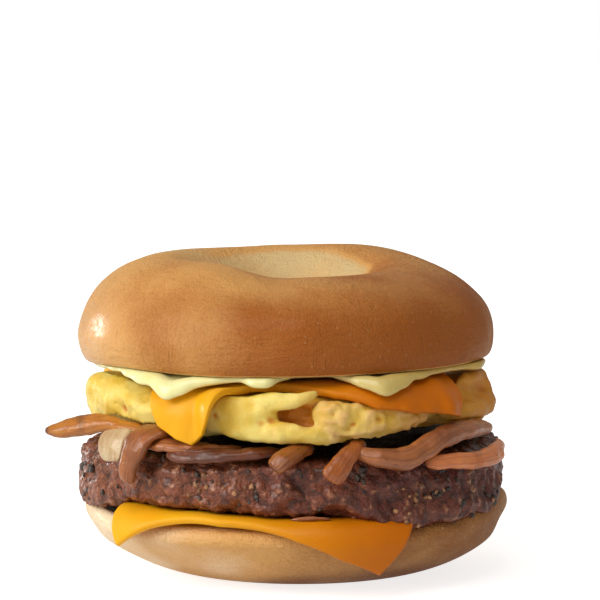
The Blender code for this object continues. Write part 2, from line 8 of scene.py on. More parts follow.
import logging
import math
import random
from collections.abc import Callable, Mapping, Sequence
from dataclasses import dataclass, field
from enum import Enum
from functools import cache
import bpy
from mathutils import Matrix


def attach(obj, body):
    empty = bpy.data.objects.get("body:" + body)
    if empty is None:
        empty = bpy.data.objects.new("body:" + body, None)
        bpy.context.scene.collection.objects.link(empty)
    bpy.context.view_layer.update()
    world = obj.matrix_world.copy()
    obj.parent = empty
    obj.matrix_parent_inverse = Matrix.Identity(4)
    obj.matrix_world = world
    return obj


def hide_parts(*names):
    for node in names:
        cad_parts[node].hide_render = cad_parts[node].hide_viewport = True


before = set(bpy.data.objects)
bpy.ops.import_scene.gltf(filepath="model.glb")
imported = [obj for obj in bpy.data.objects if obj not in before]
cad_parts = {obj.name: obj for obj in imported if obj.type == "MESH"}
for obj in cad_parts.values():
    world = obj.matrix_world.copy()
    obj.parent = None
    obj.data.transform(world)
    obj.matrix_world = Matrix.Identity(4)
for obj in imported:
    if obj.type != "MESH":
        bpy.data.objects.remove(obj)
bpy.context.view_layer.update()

from types import MappingProxyType
from typing import Protocol

import bmesh
import bpy
from mathutils import Euler, Matrix, Quaternion, Vector, noise

LOG = logging.getLogger("bagel_sandwich")

MM = 0.001
GAP = 0.3 * MM
DRAPE_GAP = 0.5 * MM
SLACK = 0.4 * MM
EGG_SLACK = 0.7 * MM
HANG_RADIUS = 42 * MM
SLICE = 2.2 * MM
MERGE = 0.002 * MM
THINNEST = 1e-6
SEED = 7

# Heights of the stack, from the table up
HEEL_TOP = 17.2 * MM
PATTY_BOTTOM = HEEL_TOP + DRAPE_GAP + SLICE + GAP
PATTY_TOP = PATTY_BOTTOM + 14.6 * MM
PATTY_MIDDLE = (PATTY_TOP + PATTY_BOTTOM) / 2
EGG_BOTTOM = PATTY_TOP + 5.2 * MM
EGG_TOP = EGG_BOTTOM + 10.6 * MM
SPREAD_THICK = 1.2 * MM
SPREAD_LIFT = DRAPE_GAP + SLICE + GAP
CROWN_BOTTOM = EGG_TOP + SPREAD_LIFT + SPREAD_THICK + GAP
CROWN_HEIGHT = 25.8 * MM

BAGEL_RADIUS = 55.0 * MM
CROWN_RADIUS = 53.6 * MM
CROWN_RIM = 51.6 * MM
CREST_RADIUS = 30.0 * MM
HOLE_RADIUS = 10.8 * MM
HEEL_FLAT = 50.2 * MM
HEEL_FOOT = 28.0 * MM
HEEL_FOOT_INNER = 20.0 * MM
PATTY_RADIUS = 55.7 * MM
PATTY_ROUND = 4.5 * MM
PATTY_FLANK = (PATTY_TOP - PATTY_BOTTOM) / 2 - PATTY_ROUND
EGG_RADIUS = 51.5 * MM
EGG_FLAT = 43.0 * MM
EGG_SHOULDER = 5.6 * MM
SECTORS = 30
SECTOR_ANGLE = 12

# The edge of each cheese slice, as places of azimuth and distance from the axis along the slice
LOWER_EDGE = ((214, 50.4), (221.5, 59.2), (231, 55.8), (250, 54.2), (270, 56.6), (281, 60.2),
              (291, 64.2), (296.5, 59), (302, 54.2), (307, 50), (313, 46.5), (345, 44.5), (15, 48.5),
              (27, 53), (38, 60), (55, 50.5), (84, 48.5), (102, 52.5), (117, 61),
              (138, 50.5), (175, 47))
UPPER_EDGE = ((225.5, 45), (228.5, 48.5), (231, 53), (234, 56.8), (239.5, 59.6), (244, 61),
              (248, 58), (251, 53.4), (255, 48.8), (259, 46.6), (267, 46), (275, 47.4),
              (283, 50.4), (293, 53.2), (303, 54.2), (313, 55), (320.5, 56.4), (323, 51.5),
              (325.5, 47), (350, 41), (20, 42.5), (40, 50), (54, 58), (72, 48),
              (103, 41.5), (132, 47.5), (150, 57), (168, 46), (200, 41))

# Where the egg's side stands out and folds in under what lies over it: azimuth, half width, millimetres
EGG_LOBES = ((338, 15, 3.2), (266, 17, 1.6), (303, 15, 1.2), (40, 22, 1.5), (95, 26, 1.6), (120, 16, 1.0))
EGG_CREASES = ((327, 6, 1.5), (285, 7, 0.8), (66, 8, 1.2))

# The sauce's edge under the crown: azimuth, reach over the slice and thickness of its bead
SAUCE_EDGE = ((184, 46.8, 1.0), (203, 46.4, 0.9), (213, 47.2, 1.2), (221, 48.6, 1.7), (229.5, 50.2, 2.3),
              (238, 52.4, 2.9), (242, 51.6, 2.6), (245.5, 50.2, 2.1), (249, 49.4, 1.8), (253, 48.6, 1.4),
              (256.5, 48.2, 1.3), (260.5, 49.8, 2.3), (264.5, 49.8, 2.3), (269, 47.2, 1.1), (273, 45.2, 0.8),
              (283, 45.2, 0.8), (286, 48.0, 1.3), (290, 50.4, 2.3), (295, 51.8, 2.9), (301.5, 51.0, 2.6),
              (308, 49.4, 1.9), (315, 48.4, 1.5), (329, 48.4, 1.7), (336, 49.6, 3.2), (343, 49.2, 3.2),
              (352, 47.2, 1.2), (12, 47.0, 1.0), (25, 49.4, 1.7), (38, 47.4, 1.0), (55, 48.2, 1.3),
              (68, 50.6, 2.2), (82, 48.0, 1.2), (98, 47.2, 1.0), (112, 49.4, 1.8), (128, 47.4, 1.0),
              (142, 48.6, 1.4), (152, 50.2, 2.0), (165, 48.0, 1.2))
SAUCE_INNER = 13.5 * MM

# The sockets of a Mix node for colours, which share their names with those for numbers
MIX_SHARE, MIX_FIRST, MIX_SECOND, MIX_RESULT = 0, 6, 7, 2

Place = Callable[[float, float, float], Vector]
Colour = tuple[float, float, float]
Hump = tuple[float, float, float]
Shape = bmesh.types.BMesh
Socket = bpy.types.NodeSocket
Outputs = bpy.types.bpy_prop_collection
Group = bpy.types.NodeTree

WHITE: Colour = (1.0, 1.0, 1.0)


def clamp(value: float) -> float:
    """value kept between 0 and 1."""
    return max(0.0, min(1.0, value))


def ease(value: float, low: float, high: float) -> float:
    """0 below low, 1 above high, and a smooth rise between them."""
    share = clamp((value - low) / (high - low))
    return share * share * (3 - 2 * share)


def fade(value: float, low: float, high: float) -> float:
    """1 below low, 0 above high, and a smooth fall between them."""
    return 1 - ease(value, low, high)


def within(value: float, start: float, full: float, still: float, end: float) -> float:
    """0 outside start and end, 1 from full to still, and smooth between them."""
    return ease(value, start, full) * (1 - ease(value, still, end))


def bump(azimuth: float, centre: float, half_width: float) -> float:
    """A smooth hump round the stack, 1 at centre and 0 beyond half_width degrees."""
    return fade(abs((azimuth - centre + 180) % 360 - 180), 0, half_width)


def humps(azimuth: float, places: Sequence[Hump]) -> float:
    """The sum of humps round the stack, each a centre, a half width and a height."""
    return sum(bump(azimuth, centre, half_width) * height for centre, half_width, height in places)


def around(azimuth: float, radius: float, height: float) -> Vector:
    """The point at an azimuth in degrees, a radius and a height."""
    angle = math.radians(azimuth)
    return Vector((radius * math.cos(angle), radius * math.sin(angle), height))


def polar(point: Vector) -> tuple[float, float]:
    """The azimuth in degrees and the radius of a point."""
    return math.degrees(math.atan2(point[1], point[0])) % 360, math.hypot(point[0], point[1])


def rough_at(point: Vector, scale: float) -> float:
    """Noise between -1 and 1 at a point, with features about scale across."""
    return noise.noise(Vector(point) / scale)


def cloud_at(point: Vector, scale: float, contrast: float) -> float:
    """The same noise between 0 and 1, with harder edges the more contrast it has."""
    return clamp(0.5 + contrast * rough_at(point, scale))


def tint(red: float, green: float, blue: float) -> Colour:
    """A screen colour of 0 to 255 as the linear colour that a shader takes."""
    return tuple((part / 255 / 12.92) if part < 10.3 else ((part / 255 + 0.055) / 1.055) ** 2.4
                 for part in (red, green, blue))


def arc(start: tuple, end: tuple, flat_first: bool, power: float, steps: int) -> list[tuple]:
    """Points of a quarter of a superellipse.

    Args:
        start: radius and height that the quarter starts from, left out of the result.
        end: radius and height that it ends at.
        flat_first: whether it leaves start level rather than upright.
        power: 2 for an ellipse, more for a squarer corner.
        steps: how many points it gives.

    Returns:
        The points after start, up to end.
    """
    points = []
    for step in range(1, steps + 1):
        angle = math.pi / 2 * step / steps
        across = math.sin(angle) ** (2 / power)
        along = 0.0 if step == steps else math.cos(angle) ** (2 / power)
        if flat_first:
            out, up = start[0] + (end[0] - start[0]) * across, end[1] + (start[1] - end[1]) * along
        else:
            out, up = end[0] + (start[0] - end[0]) * along, start[1] + (end[1] - start[1]) * across
        points.append((out, up))
    return points


def straight(start: tuple, end: tuple, steps: int) -> list[tuple]:
    """Points of a straight run after start, up to end."""
    shares = [step / steps for step in range(1, steps + 1)]
    return [(start[0] + (end[0] - start[0]) * s, start[1] + (end[1] - start[1]) * s) for s in shares]


def spin_section(section: Sequence[tuple], steps: int, closed: bool) -> Shape:
    """Turns a section round the axis.

    Args:
        section: radius and height of each point of the section.
        steps: sides of the turned shape.
        closed: whether the section's last point joins its first.

    Returns:
        The turned shape, merged and facing outwards.
    """
    body = bmesh.new()
    verts = [body.verts.new((radius, 0.0, height)) for radius, height in section]
    pairs = list(zip(verts, verts[1:])) + ([(verts[-1], verts[0])] if closed else [])
    edges = [body.edges.new(pair) for pair in pairs]
    bmesh.ops.spin(body, geom=verts + edges, cent=(0, 0, 0), axis=(0, 0, 1), angle=math.tau,
                   steps=steps, use_merge=True, use_duplicate=False)
    bmesh.ops.remove_doubles(body, verts=body.verts, dist=MERGE)
    bmesh.ops.recalc_face_normals(body, faces=body.faces)
    return body


def move_each(body: Shape, place: Place) -> None:
    """Moves each vertex to place(azimuth, radius, height)."""
    for vertex in body.verts:
        vertex.co = place(*polar(vertex.co), vertex.co.z)


def relax(body: Shape, passes: int) -> None:
    """Smooths a shape.

    Args:
        body: the shape.
        passes: how often it is smoothed.
    """
    for _ in range(passes):
        bmesh.ops.smooth_vert(body, verts=body.verts, factor=0.5, use_axis_x=True, use_axis_y=True,
                              use_axis_z=True)


def draped_sheet(first: int, rings: int, steps: int, place: Place) -> Shape:
    """A thin sheet with a top and an underside, laid where it belongs.

    Args:
        first: the number of its innermost ring, 0 for a sheet without a hole.
        rings: how many rings there are outside that one.
        steps: points of each ring.
        place: gives the place of an azimuth, a ring and a side, which is 1 on top and 0 below.

    Returns:
        The sheet.
    """
    top = [(float(first + ring), 1.0) for ring in range(rings + 1)]
    below = [(ring, 0.0) for ring, _ in reversed(top[:-1])]
    body = spin_section(top + below, steps, first > 0)
    move_each(body, place)
    bmesh.ops.remove_doubles(body, verts=body.verts, dist=MERGE)
    return body


def heading(middles: Sequence[Vector], index: int) -> Vector:
    """The unit direction in which a row of places runs at one of them."""
    return (middles[min(index + 1, len(middles) - 1)] - middles[max(index - 1, 0)]).normalized()


def square_to(way: Vector, along: Vector) -> Vector:
    """The unit direction nearest to way that is square to along."""
    return (way - along * way.dot(along)).normalized()


def cross_section(middle: Vector, away: Vector, along: Vector, wide: float, thick: float) -> Matrix:
    """One frame for sweep().

    Args:
        middle: the middle of the cross-section.
        away: the unit direction of its thickness.
        along: the unit direction of the tube.
        wide: its half width.
        thick: its half thickness.

    Returns:
        The frame.
    """
    turn = Matrix((away.cross(along), away, along)).transposed().to_4x4()
    size = Matrix.Diagonal((max(wide, THINNEST), max(thick, THINNEST), 1.0, 1.0))
    return Matrix.Translation(middle) @ turn @ size


def sweep(rings: Sequence[Matrix], sides: int, power: float = 2.0) -> Shape:
    """A closed tube whose cross-section is a superellipse carried through a row of frames.

    Args:
        rings: one frame for each cross-section, its X and Y scaled to the half width and thickness.
        sides: points round each cross-section.
        power: 2 for round sides, more for flatter ones.

    Returns:
        The tube with a UV map, U once round it and V along it.
    """
    body = bmesh.new()
    body.loops.layers.uv.new("UVMap")
    count = len(rings) - 1
    bmesh.ops.create_grid(body, x_segments=sides, y_segments=count, size=0.5, calc_uvs=True)
    for vertex in body.verts:
        angle = math.tau * (vertex.co.x + 0.5)
        ring = rings[round((vertex.co.y + 0.5) * count)]
        across = math.copysign(abs(math.cos(angle)) ** (2 / power), math.cos(angle))
        up = math.copysign(abs(math.sin(angle)) ** (2 / power), math.sin(angle))
        vertex.co = ring @ Vector((across, up, 0.0))
    bmesh.ops.remove_doubles(body, verts=body.verts, dist=0.02 * MM)
    bmesh.ops.recalc_face_normals(body, faces=body.faces)
    return body


def curve_through(places: Sequence[Sequence[float]], count: int) -> list[list[float]]:
    """Points along a smooth curve through places of any number of parts.

    Args:
        places: the places that the curve passes.
        count: how many points to read off it.

    Returns:
        The points, evenly numbered from the first place to the last.
    """
    first = [2 * a - b for a, b in zip(places[0], places[1])]
    last = [2 * a - b for a, b in zip(places[-1], places[-2])]
    ends = [first, *places, last]
    spans = len(places) - 1
    route = []
    for step in range(count):
        along = spans * step / (count - 1)
        span = min(int(along), spans - 1)
        t = along - span
        route.append([0.5 * (2 * b + (c - a) * t + (2 * a - 5 * b + 4 * c - d) * t * t
                             + (3 * b - 3 * c + d - a) * t ** 3)
                      for a, b, c, d in zip(*ends[span:span + 4])])
    return route


def mark_hollows(body: Shape, passes: int, full: float) -> None:
    """Writes how sunk each vertex lies beside its surroundings to the attribute hollow.

    Args:
        body: the finished shape.
        passes: how often the comparison shape is smoothed, more for wider hollows.
        full: the depth that counts as a whole hollow, which is written as 1. Level ground is 0.5.
    """
    layer = body.verts.layers.float.new("hollow")
    body.normal_update()
    before = [(vertex.co.copy(), vertex.normal.copy()) for vertex in body.verts]
    relax(body, passes)
    for vertex, (place, normal) in zip(body.verts, before):
        vertex[layer] = clamp(0.5 + 0.5 * (vertex.co - place).dot(normal) / full)
        vertex.co = place


def mesh_of(body: Shape, name: str) -> bpy.types.Mesh:
    """Turns a finished shape into a mesh, and frees the shape.

    Args:
        body: the shape.
        name: what the mesh is called.

    Returns:
        The mesh.
    """
    mesh = bpy.data.meshes.new(name)
    body.to_mesh(mesh)
    body.free()
    return mesh


def linked(name: str, data: bpy.types.ID) -> bpy.types.Object:
    """Puts a new object in the scene.

    Args:
        name: what it is called.
        data: its mesh, light or camera.

    Returns:
        The object.
    """
    made = bpy.data.objects.new(name, data)
    bpy.context.scene.collection.objects.link(made)
    return made


@dataclass(frozen=True)
class Stack:
    """Where the sandwich's axis stands, and how the stack leans and sags."""

    x: float = 5.3 * MM
    y: float = 1.3 * MM
    lean: float = 0.06
    tilt: float = 0.26
    sway: float = 0.7 * MM
    sway_length: float = 42 * MM

    def settled(self, point: Vector) -> Vector:
        """Where a point of the upright stack lies in the frame once the sandwich has leaned.

        Args:
            point: a point beside the upright axis.

        Returns:
            The point in the frame.
        """
        x, y, z = point
        free = ease(z, 0, 12 * MM)
        sway = noise.noise_vector(Vector((x, y, z)) / self.sway_length) * self.sway * free
        return Vector((self.x + x - self.lean * z + sway.x, self.y + y + sway.y, z * (1 + self.tilt * x)))


STACK = Stack()


class Mantle:
    """The outline that a slice or a sauce lies over, walked by its length from the axis outwards."""

    def __init__(self, outline: Sequence[tuple], finest: float = 0.25 * MM) -> None:
        """Cuts the outline into short steps.

        Args:
            outline: radius and height of its points, from the axis outwards.
            finest: the longest step.
        """
        points = [Vector((0.0, outline[0][1]))]
        for place in outline:
            gap = Vector(place) - points[-1]
            count = max(1, int(gap.length / finest))
            points += [points[-1] + gap * (step / count) for step in range(1, count + 1)]
        self.points = points
        self.walked = [0.0]
        for before, after in zip(points, points[1:]):
            self.walked.append(self.walked[-1] + (after - before).length)

    def place(self, reach: float) -> Vector:
        """The radius and height at a length along the outline.

        Args:
            reach: the length from the axis.

        Returns:
            The radius and height.
        """
        low, high = 0, len(self.walked) - 1
        while high - low > 1:
            middle = (low + high) // 2
            low, high = (middle, high) if self.walked[middle] <= reach else (low, middle)
        run = self.walked[high] - self.walked[low]
        return self.points[low].lerp(self.points[high], (reach - self.walked[low]) / run)

    def over(self, azimuth: float, reach: float, lift: float) -> Vector:
        """The point that far along the outline and lift above it.

        Args:
            azimuth: degrees round the axis.
            reach: the length from the axis.
            lift: the height above the outline.

        Returns:
            The point.
        """
        here = self.place(reach)
        along = self.place(reach + 1.5 * MM) - self.place(max(0.0, reach - 1.5 * MM))
        outward = Vector((-along.y, along.x)).normalized()
        return around(azimuth, here.x + outward.x * lift, here.y + outward.y * lift)


def heel_mantle() -> Mantle:
    """The heel as the lower slice meets it, rounder at the rim than the heel itself.

    Returns:
        The outline to lie over.
    """
    rim, wide = (51.6 * MM, HEEL_TOP + 0.1 * MM), (BAGEL_RADIUS + 0.4 * MM, 13.4 * MM)
    points = [(0.0, HEEL_TOP), rim] + arc(rim, wide, True, 2.5, 14)
    return Mantle(points + arc(wide, (HANG_RADIUS, 0.0), False, 1.7, 24))


def egg_mantle() -> Mantle:
    """The egg as the upper slice and the sauce meet it.

    Returns:
        The outline to lie over.
    """
    top, side = (EGG_FLAT, EGG_TOP), (EGG_RADIUS, EGG_TOP - EGG_SHOULDER)
    points = [(0.0, EGG_TOP), top] + arc(top, side, True, 2.0, 16)
    return Mantle(points + straight(side, (EGG_RADIUS, PATTY_TOP), 4))


def slice_edge(edge: Sequence[tuple], azimuth: float) -> float:
    """How far a slice reaches from the axis, with straight runs between its places.

    Args:
        edge: the slice's places.
        azimuth: degrees round the axis.

    Returns:
        The reach.
    """
    plan = [around(place_azimuth, reach * MM, 0.0) for place_azimuth, reach in edge]
    ray = around(azimuth, 1.0, 0.0)
    for first, second in zip(plan, plan[1:] + plan[:1]):
        side = second - first
        turn = ray.x * side.y - ray.y * side.x
        share = (first.x * ray.y - first.y * ray.x) / turn
        reach = (first.x * side.y - first.y * side.x) / turn
        if reach > 0 and -1e-4 <= share <= 1 + 1e-4:
            return reach
    return 0.0


def eased_along(places: Sequence[tuple], azimuth: float) -> list[float]:
    """Reads a table of places round the stack, with smooth rises between them.

    Args:
        places: the places in order, each an azimuth and its numbers.
        azimuth: degrees round the axis.

    Returns:
        The numbers at the azimuth.
    """
    for first, second in zip(places, (*places[1:], places[0])):
        span = (second[0] - first[0]) % 360
        along = (azimuth - first[0]) % 360
        if along < span:
            share = ease(along, 0, span)
            return [a + (b - a) * share for a, b in zip(first[1:], second[1:])]
    return list(places[0][1:])


def at_places(edge: Sequence[tuple], azimuth: float) -> float:
    """Moves an azimuth so that even steps round a turned disc fall on each of a slice's places.

    Args:
        edge: the slice's places.
        azimuth: degrees round the disc.

    Returns:
        The degrees round the slice.
    """
    index, share = divmod(azimuth % 360 / 360 * len(edge), 1)
    first, second = edge[int(index)][0], edge[(int(index) + 1) % len(edge)][0]
    return (first + ((second - first) % 360) * share) % 360


def below_edge(height: float) -> float:
    """1 on the egg's side, 0 at its upper edge."""
    return fade(height, EGG_TOP - 5 * MM, EGG_TOP - 1.5 * MM)


def egg_swell(azimuth: float, height: float) -> float:
    """How far the egg's side stands out or folds in, as the layers over it meet it.

    Args:
        azimuth: degrees round the axis.
        height: height over the table.

    Returns:
        The distance outwards.
    """
    low = below_edge(height)
    side = humps(azimuth, EGG_LOBES) - humps(azimuth, EGG_CREASES)
    torn = within(azimuth, 283, 290, 318, 328) * low
    ragged = rough_at(around(azimuth, EGG_RADIUS, height), 5.5 * MM) * (0.5 + 1.2 * torn)
    return (bump(azimuth, 198, 30) * 1.9 + (side + ragged) * low) * MM


def egg_bulge(azimuth: float, height: float, spread: float = 7) -> float:
    """How far the egg stands out within spread degrees, never inwards, for what lies over it."""
    near = [egg_swell(azimuth + turn, height) for turn in (-spread, 0, spread)]
    return max(0.0, max(near)) + EGG_SLACK


def rim_lift(azimuth: float, radius: float) -> float:
    """How far the thickest sauce lifts the crown's lower rim."""
    return 0.9 * MM * bump(azimuth, 218, 34) * ease(radius, 42 * MM, 50 * MM)


def patty_clearance(point: Vector) -> tuple[float, Vector]:
    """Distance from the patty's envelope, and the direction away from it.

    Args:
        point: a point beside the upright axis.

    Returns:
        The distance and the unit direction.
    """
    out = math.hypot(point.x, point.y) - (PATTY_RADIUS - PATTY_ROUND)
    up = abs(point.z - PATTY_MIDDLE) - PATTY_FLANK
    away = Vector((max(out, 0.0), max(up, 0.0)))
    apart = away.length - PATTY_ROUND if away.length > 0 else max(out, up) - PATTY_ROUND
    if away.length < 1e-9:
        away = Vector((0.0, 1.0))
    away.normalize()
    ring = Vector((point.x, point.y, 0.0)).normalized()
    return apart, ring * away.x + Vector((0.0, 0.0, away.y if point.z > PATTY_MIDDLE else -away.y))


class Wiring:
    """A node tree, with one short call for each node that is added to it."""

    def __init__(self, tree: bpy.types.NodeTree) -> None:
        """Takes the tree to build in."""
        self.tree = tree

    def node(self, kind: str, inputs: Mapping = MappingProxyType({}), **settings: object) -> Outputs:
        """Adds a node.

        Args:
            kind: its type, without the prefix ShaderNode.
            inputs: its inputs, each a socket that feeds it or a value of its own.
            settings: its own settings.

        Returns:
            The node's outputs.
        """
        made = self.tree.nodes.new("ShaderNode" + kind)
        for word, value in settings.items():
            setattr(made, word, value)
        for word, value in inputs.items():
            if isinstance(value, Socket):
                self.tree.links.new(value, made.inputs[word])
            else:
                made.inputs[word].default_value = value
        return made.outputs

    def here(self) -> Socket:
        """The place on the object, in its own coordinates."""
        return self.node("TexCoord")["Object"]

    def between(self, value: Socket, low: float | Socket, high: float | Socket) -> Socket:
        """A smooth step of a value.

        Args:
            value: the value's socket.
            low: where the step starts from 0.
            high: where it reaches 1.

        Returns:
            The step's socket.
        """
        ends = {"Value": value, "From Min": low, "From Max": high}
        return self.node("MapRange", ends, interpolation_type="SMOOTHSTEP")["Result"]

    def figure(self, operation: str, first: float | Socket, second: float | Socket) -> Socket:
        """Joins two values by one sum that stays between 0 and 1.

        Args:
            operation: the kind of sum, such as ADD or MULTIPLY.
            first: the first value.
            second: the second value.

        Returns:
            The result's socket.
        """
        return self.node("Math", {0: first, 1: second}, operation=operation, use_clamp=True)["Value"]

    def times(self, first: float | Socket, second: float | Socket) -> Socket:
        """Two values multiplied, kept between 0 and 1."""
        return self.figure("MULTIPLY", first, second)

    def plus(self, first: float | Socket, second: float | Socket) -> Socket:
        """Two values added, kept between 0 and 1."""
        return self.figure("ADD", first, second)

    def blend(self, share: Socket, first: Colour | Socket, second: Colour | Socket) -> Socket:
        """Mixes two colours.

        Args:
            share: how much of the second colour shows.
            first: the first colour.
            second: the second colour.

        Returns:
            The mixed colour's socket.
        """
        ends = [colour if isinstance(colour, Socket) else (*colour, 1.0) for colour in (first, second)]
        inputs = {MIX_SHARE: share, MIX_FIRST: ends[0], MIX_SECOND: ends[1]}
        return self.node("Mix", inputs, data_type="RGBA")[MIX_RESULT]


class Effect(Wiring):
    """A shader group that several finishes share."""

    def __init__(self, name: str, output: str, **inputs: float) -> None:
        """Starts an empty group.

        Args:
            name: what the group is called.
            output: what its one output is called.
            inputs: its number inputs and their usual values.
        """
        super().__init__(bpy.data.node_groups.new(name, "ShaderNodeTree"))
        for word, value in inputs.items():
            made = self.tree.interface.new_socket(word, in_out="INPUT", socket_type="NodeSocketFloat")
            made.default_value = value
        self.tree.interface.new_socket(output, in_out="OUTPUT", socket_type="NodeSocketFloat")
        self.given = self.tree.nodes.new("NodeGroupInput").outputs

    def ends_in(self, socket: Socket) -> Group:
        """Sends a socket to the group's output.

        Args:
            socket: what the group gives.

        Returns:
            The finished group.
        """
        self.tree.links.new(socket, self.tree.nodes.new("NodeGroupOutput").inputs[0])
        return self.tree


@cache
def mottle() -> Group:
    """The group for cloudy patches with a soft edge.

    Returns:
        The group.
    """
    effect = Effect("mottle", "Mask", Scale=100, Detail=4, Low=0.4, High=0.6)
    given = effect.given
    cloud = {"Vector": effect.here(), "Scale": given["Scale"], "Detail": given["Detail"]}
    return effect.ends_in(effect.between(effect.node("TexNoise", cloud)["Fac"], given["Low"], given["High"]))


@cache
def dots() -> Group:
    """The group for small round dots scattered at random, some of them left out.

    Returns:
        The group.
    """
    effect = Effect("dots", "Mask", Scale=500, Size=0.3, Chance=0.5)
    cells = effect.node("TexVoronoi", {"Vector": effect.here(), "Scale": effect.given["Scale"]})
    fading = {"Value": cells["Distance"], "From Max": effect.given["Size"], "To Min": 1.0, "To Max": 0.0}
    inside = effect.node("MapRange", fading, interpolation_type="SMOOTHSTEP")["Result"]
    drawn = effect.node("SeparateColor", {"Color": cells["Color"]})["Red"]
    chosen = effect.node("Math", {0: drawn, 1: effect.given["Chance"]}, operation="LESS_THAN")["Value"]
    return effect.ends_in(effect.times(inside, chosen))


@cache
def grain() -> Group:
    """The group for fine relief of two sizes, a height between 0 and 1.

    Returns:
        The group.
    """
    effect = Effect("grain", "Height", Coarse=300, Fine=1500, Share=0.4)
    blend = {"Factor": effect.given["Share"]}
    for word, socket in (("Coarse", "A"), ("Fine", "B")):
        cloud = {"Vector": effect.here(), "Scale": effect.given[word], "Detail": 3.0}
        blend[socket] = effect.node("TexNoise", cloud)["Fac"]
    return effect.ends_in(effect.node("Mix", blend)["Result"])


@cache
def wrinkles() -> Group:
    """The group for fine creases, drawn out along or across the height by its two scales.

    Returns:
        The group.
    """
    effect = Effect("wrinkles", "Height", Level=900.0, Upright=150.0)
    level = effect.given["Level"]
    scales = effect.node("CombineXYZ", {"X": level, "Y": level, "Z": effect.given["Upright"]})["Vector"]
    where = effect.node("VectorMath", {0: effect.here(), 1: scales}, operation="MULTIPLY")["Vector"]
    lines = {"Vector": where, "Scale": 1.0, "Detail": 3.0, "Distortion": 0.6}
    return effect.ends_in(effect.node("TexNoise", lines)["Fac"])


@cache
def domes() -> Group:
    """The group for rounded grains side by side: 1 on their tops, 0 in the seams between them.

    Returns:
        The group.
    """
    effect = Effect("domes", "Height", Scale=600.0, Wander=0.3)
    scale, here = effect.given["Scale"], effect.here()
    noisy = effect.node("TexNoise", {"Vector": here, "Scale": scale})["Color"]
    stray = {0: noisy, "Scale": effect.given["Wander"]}
    stray = effect.node("VectorMath", stray, operation="SCALE")["Vector"]
    moved = {0: stray, 1: (2 * MM, 2 * MM, 2 * MM), 2: here}
    where = effect.node("VectorMath", moved, operation="MULTIPLY_ADD")["Vector"]
    cells = {"Vector": where, "Scale": scale, "Smoothness": 0.35}
    apart = effect.node("TexVoronoi", cells, feature="SMOOTH_F1")["Distance"]
    height = {"Value": apart, "From Min": 0.75, "From Max": 0.1}
    return effect.ends_in(effect.node("MapRange", height)["Result"])


@cache
def rightward() -> Group:
    """The group for a slow rise from the sandwich's left side to its right side.

    Returns:
        The group.
    """
    effect = Effect("rightward", "Mask", Low=-0.03, High=0.05)
    across = effect.node("SeparateXYZ", {"Vector": effect.here()})["X"]
    return effect.ends_in(effect.between(across, effect.given["Low"], effect.given["High"]))


class Bench(Wiring):
    """One material's node tree, with short calls for what the finishes use."""

    def __init__(self, name: str, colour: Colour) -> None:
        """Starts a material.

        Args:
            name: what the material is called.
            colour: the colour that over() paints on.
        """
        self.material = bpy.data.materials.new(name)
        self.material.use_nodes = True
        super().__init__(self.material.node_tree)
        self.shader = self.tree.nodes["Principled BSDF"]
        self.painted: Colour | Socket = colour

    def settings(self, **values: float) -> None:
        """Sets plain numbers on the shader's own sockets, named with _ for a space."""
        for word, value in values.items():
            self.shader.inputs[word.replace("_", " ")].default_value = value

    def feed(self, word: str, socket: Socket) -> None:
        """Lets a socket feed one of the shader's inputs."""
        self.tree.links.new(socket, self.shader.inputs[word])

    def over(self, share: Socket, colour: Colour, strength: float = 1.0) -> None:
        """Paints a colour over what has been painted before.

        Args:
            share: where it goes.
            colour: the colour.
            strength: how much of it shows at most.
        """
        share = share if strength == 1.0 else self.times(share, strength)
        self.painted = self.blend(share, self.painted, colour)
        self.feed("Base Color", self.painted)

    def soften(self, weight: float, depth: float, reach: Colour = (1.0, 0.45, 0.2)) -> None:
        """Lets light into the surface.

        Args:
            weight: how much of the light goes in.
            depth: how deep it goes, in metres.
            reach: how far each of red, green and blue goes, as a share of depth.
        """
        self.settings(Subsurface_Weight=weight, Subsurface_Scale=depth, Subsurface_Radius=reach)

    def mark(self, name: str) -> Socket:
        """The value of one of the piece's own attributes."""
        return self.node("Attribute", attribute_name=name)["Fac"]

    def effect(self, group: Group, **values: float) -> Socket:
        """Places a shared group with its inputs, and gives what it gives."""
        return self.node("Group", values, node_tree=group)[0]

    def roughness(self, share: Socket, low: float, high: float) -> None:
        """Lets the roughness run with a mask from low, where it is 0, to high, where it is 1."""
        ends = {"Value": share, "To Min": low, "To Max": high}
        self.feed("Roughness", self.node("MapRange", ends)["Result"])

    def relief(self, height: Socket, depth: float) -> None:
        """Adds fine relief, on top of any that the material already has.

        Args:
            height: the relief's height between 0 and 1.
            depth: what 1 means, in metres.
        """
        inputs = {"Height": height, "Distance": depth}
        normal = self.shader.inputs["Normal"]
        if normal.is_linked:
            inputs["Normal"] = normal.links[0].from_socket
        self.tree.links.new(self.node("Bump", inputs)["Normal"], normal)

    def sink(self, mask: Socket, depth: float) -> None:
        """Sinks the surface by that depth where a mask is 1."""
        self.relief(self.figure("SUBTRACT", 1.0, mask), depth)


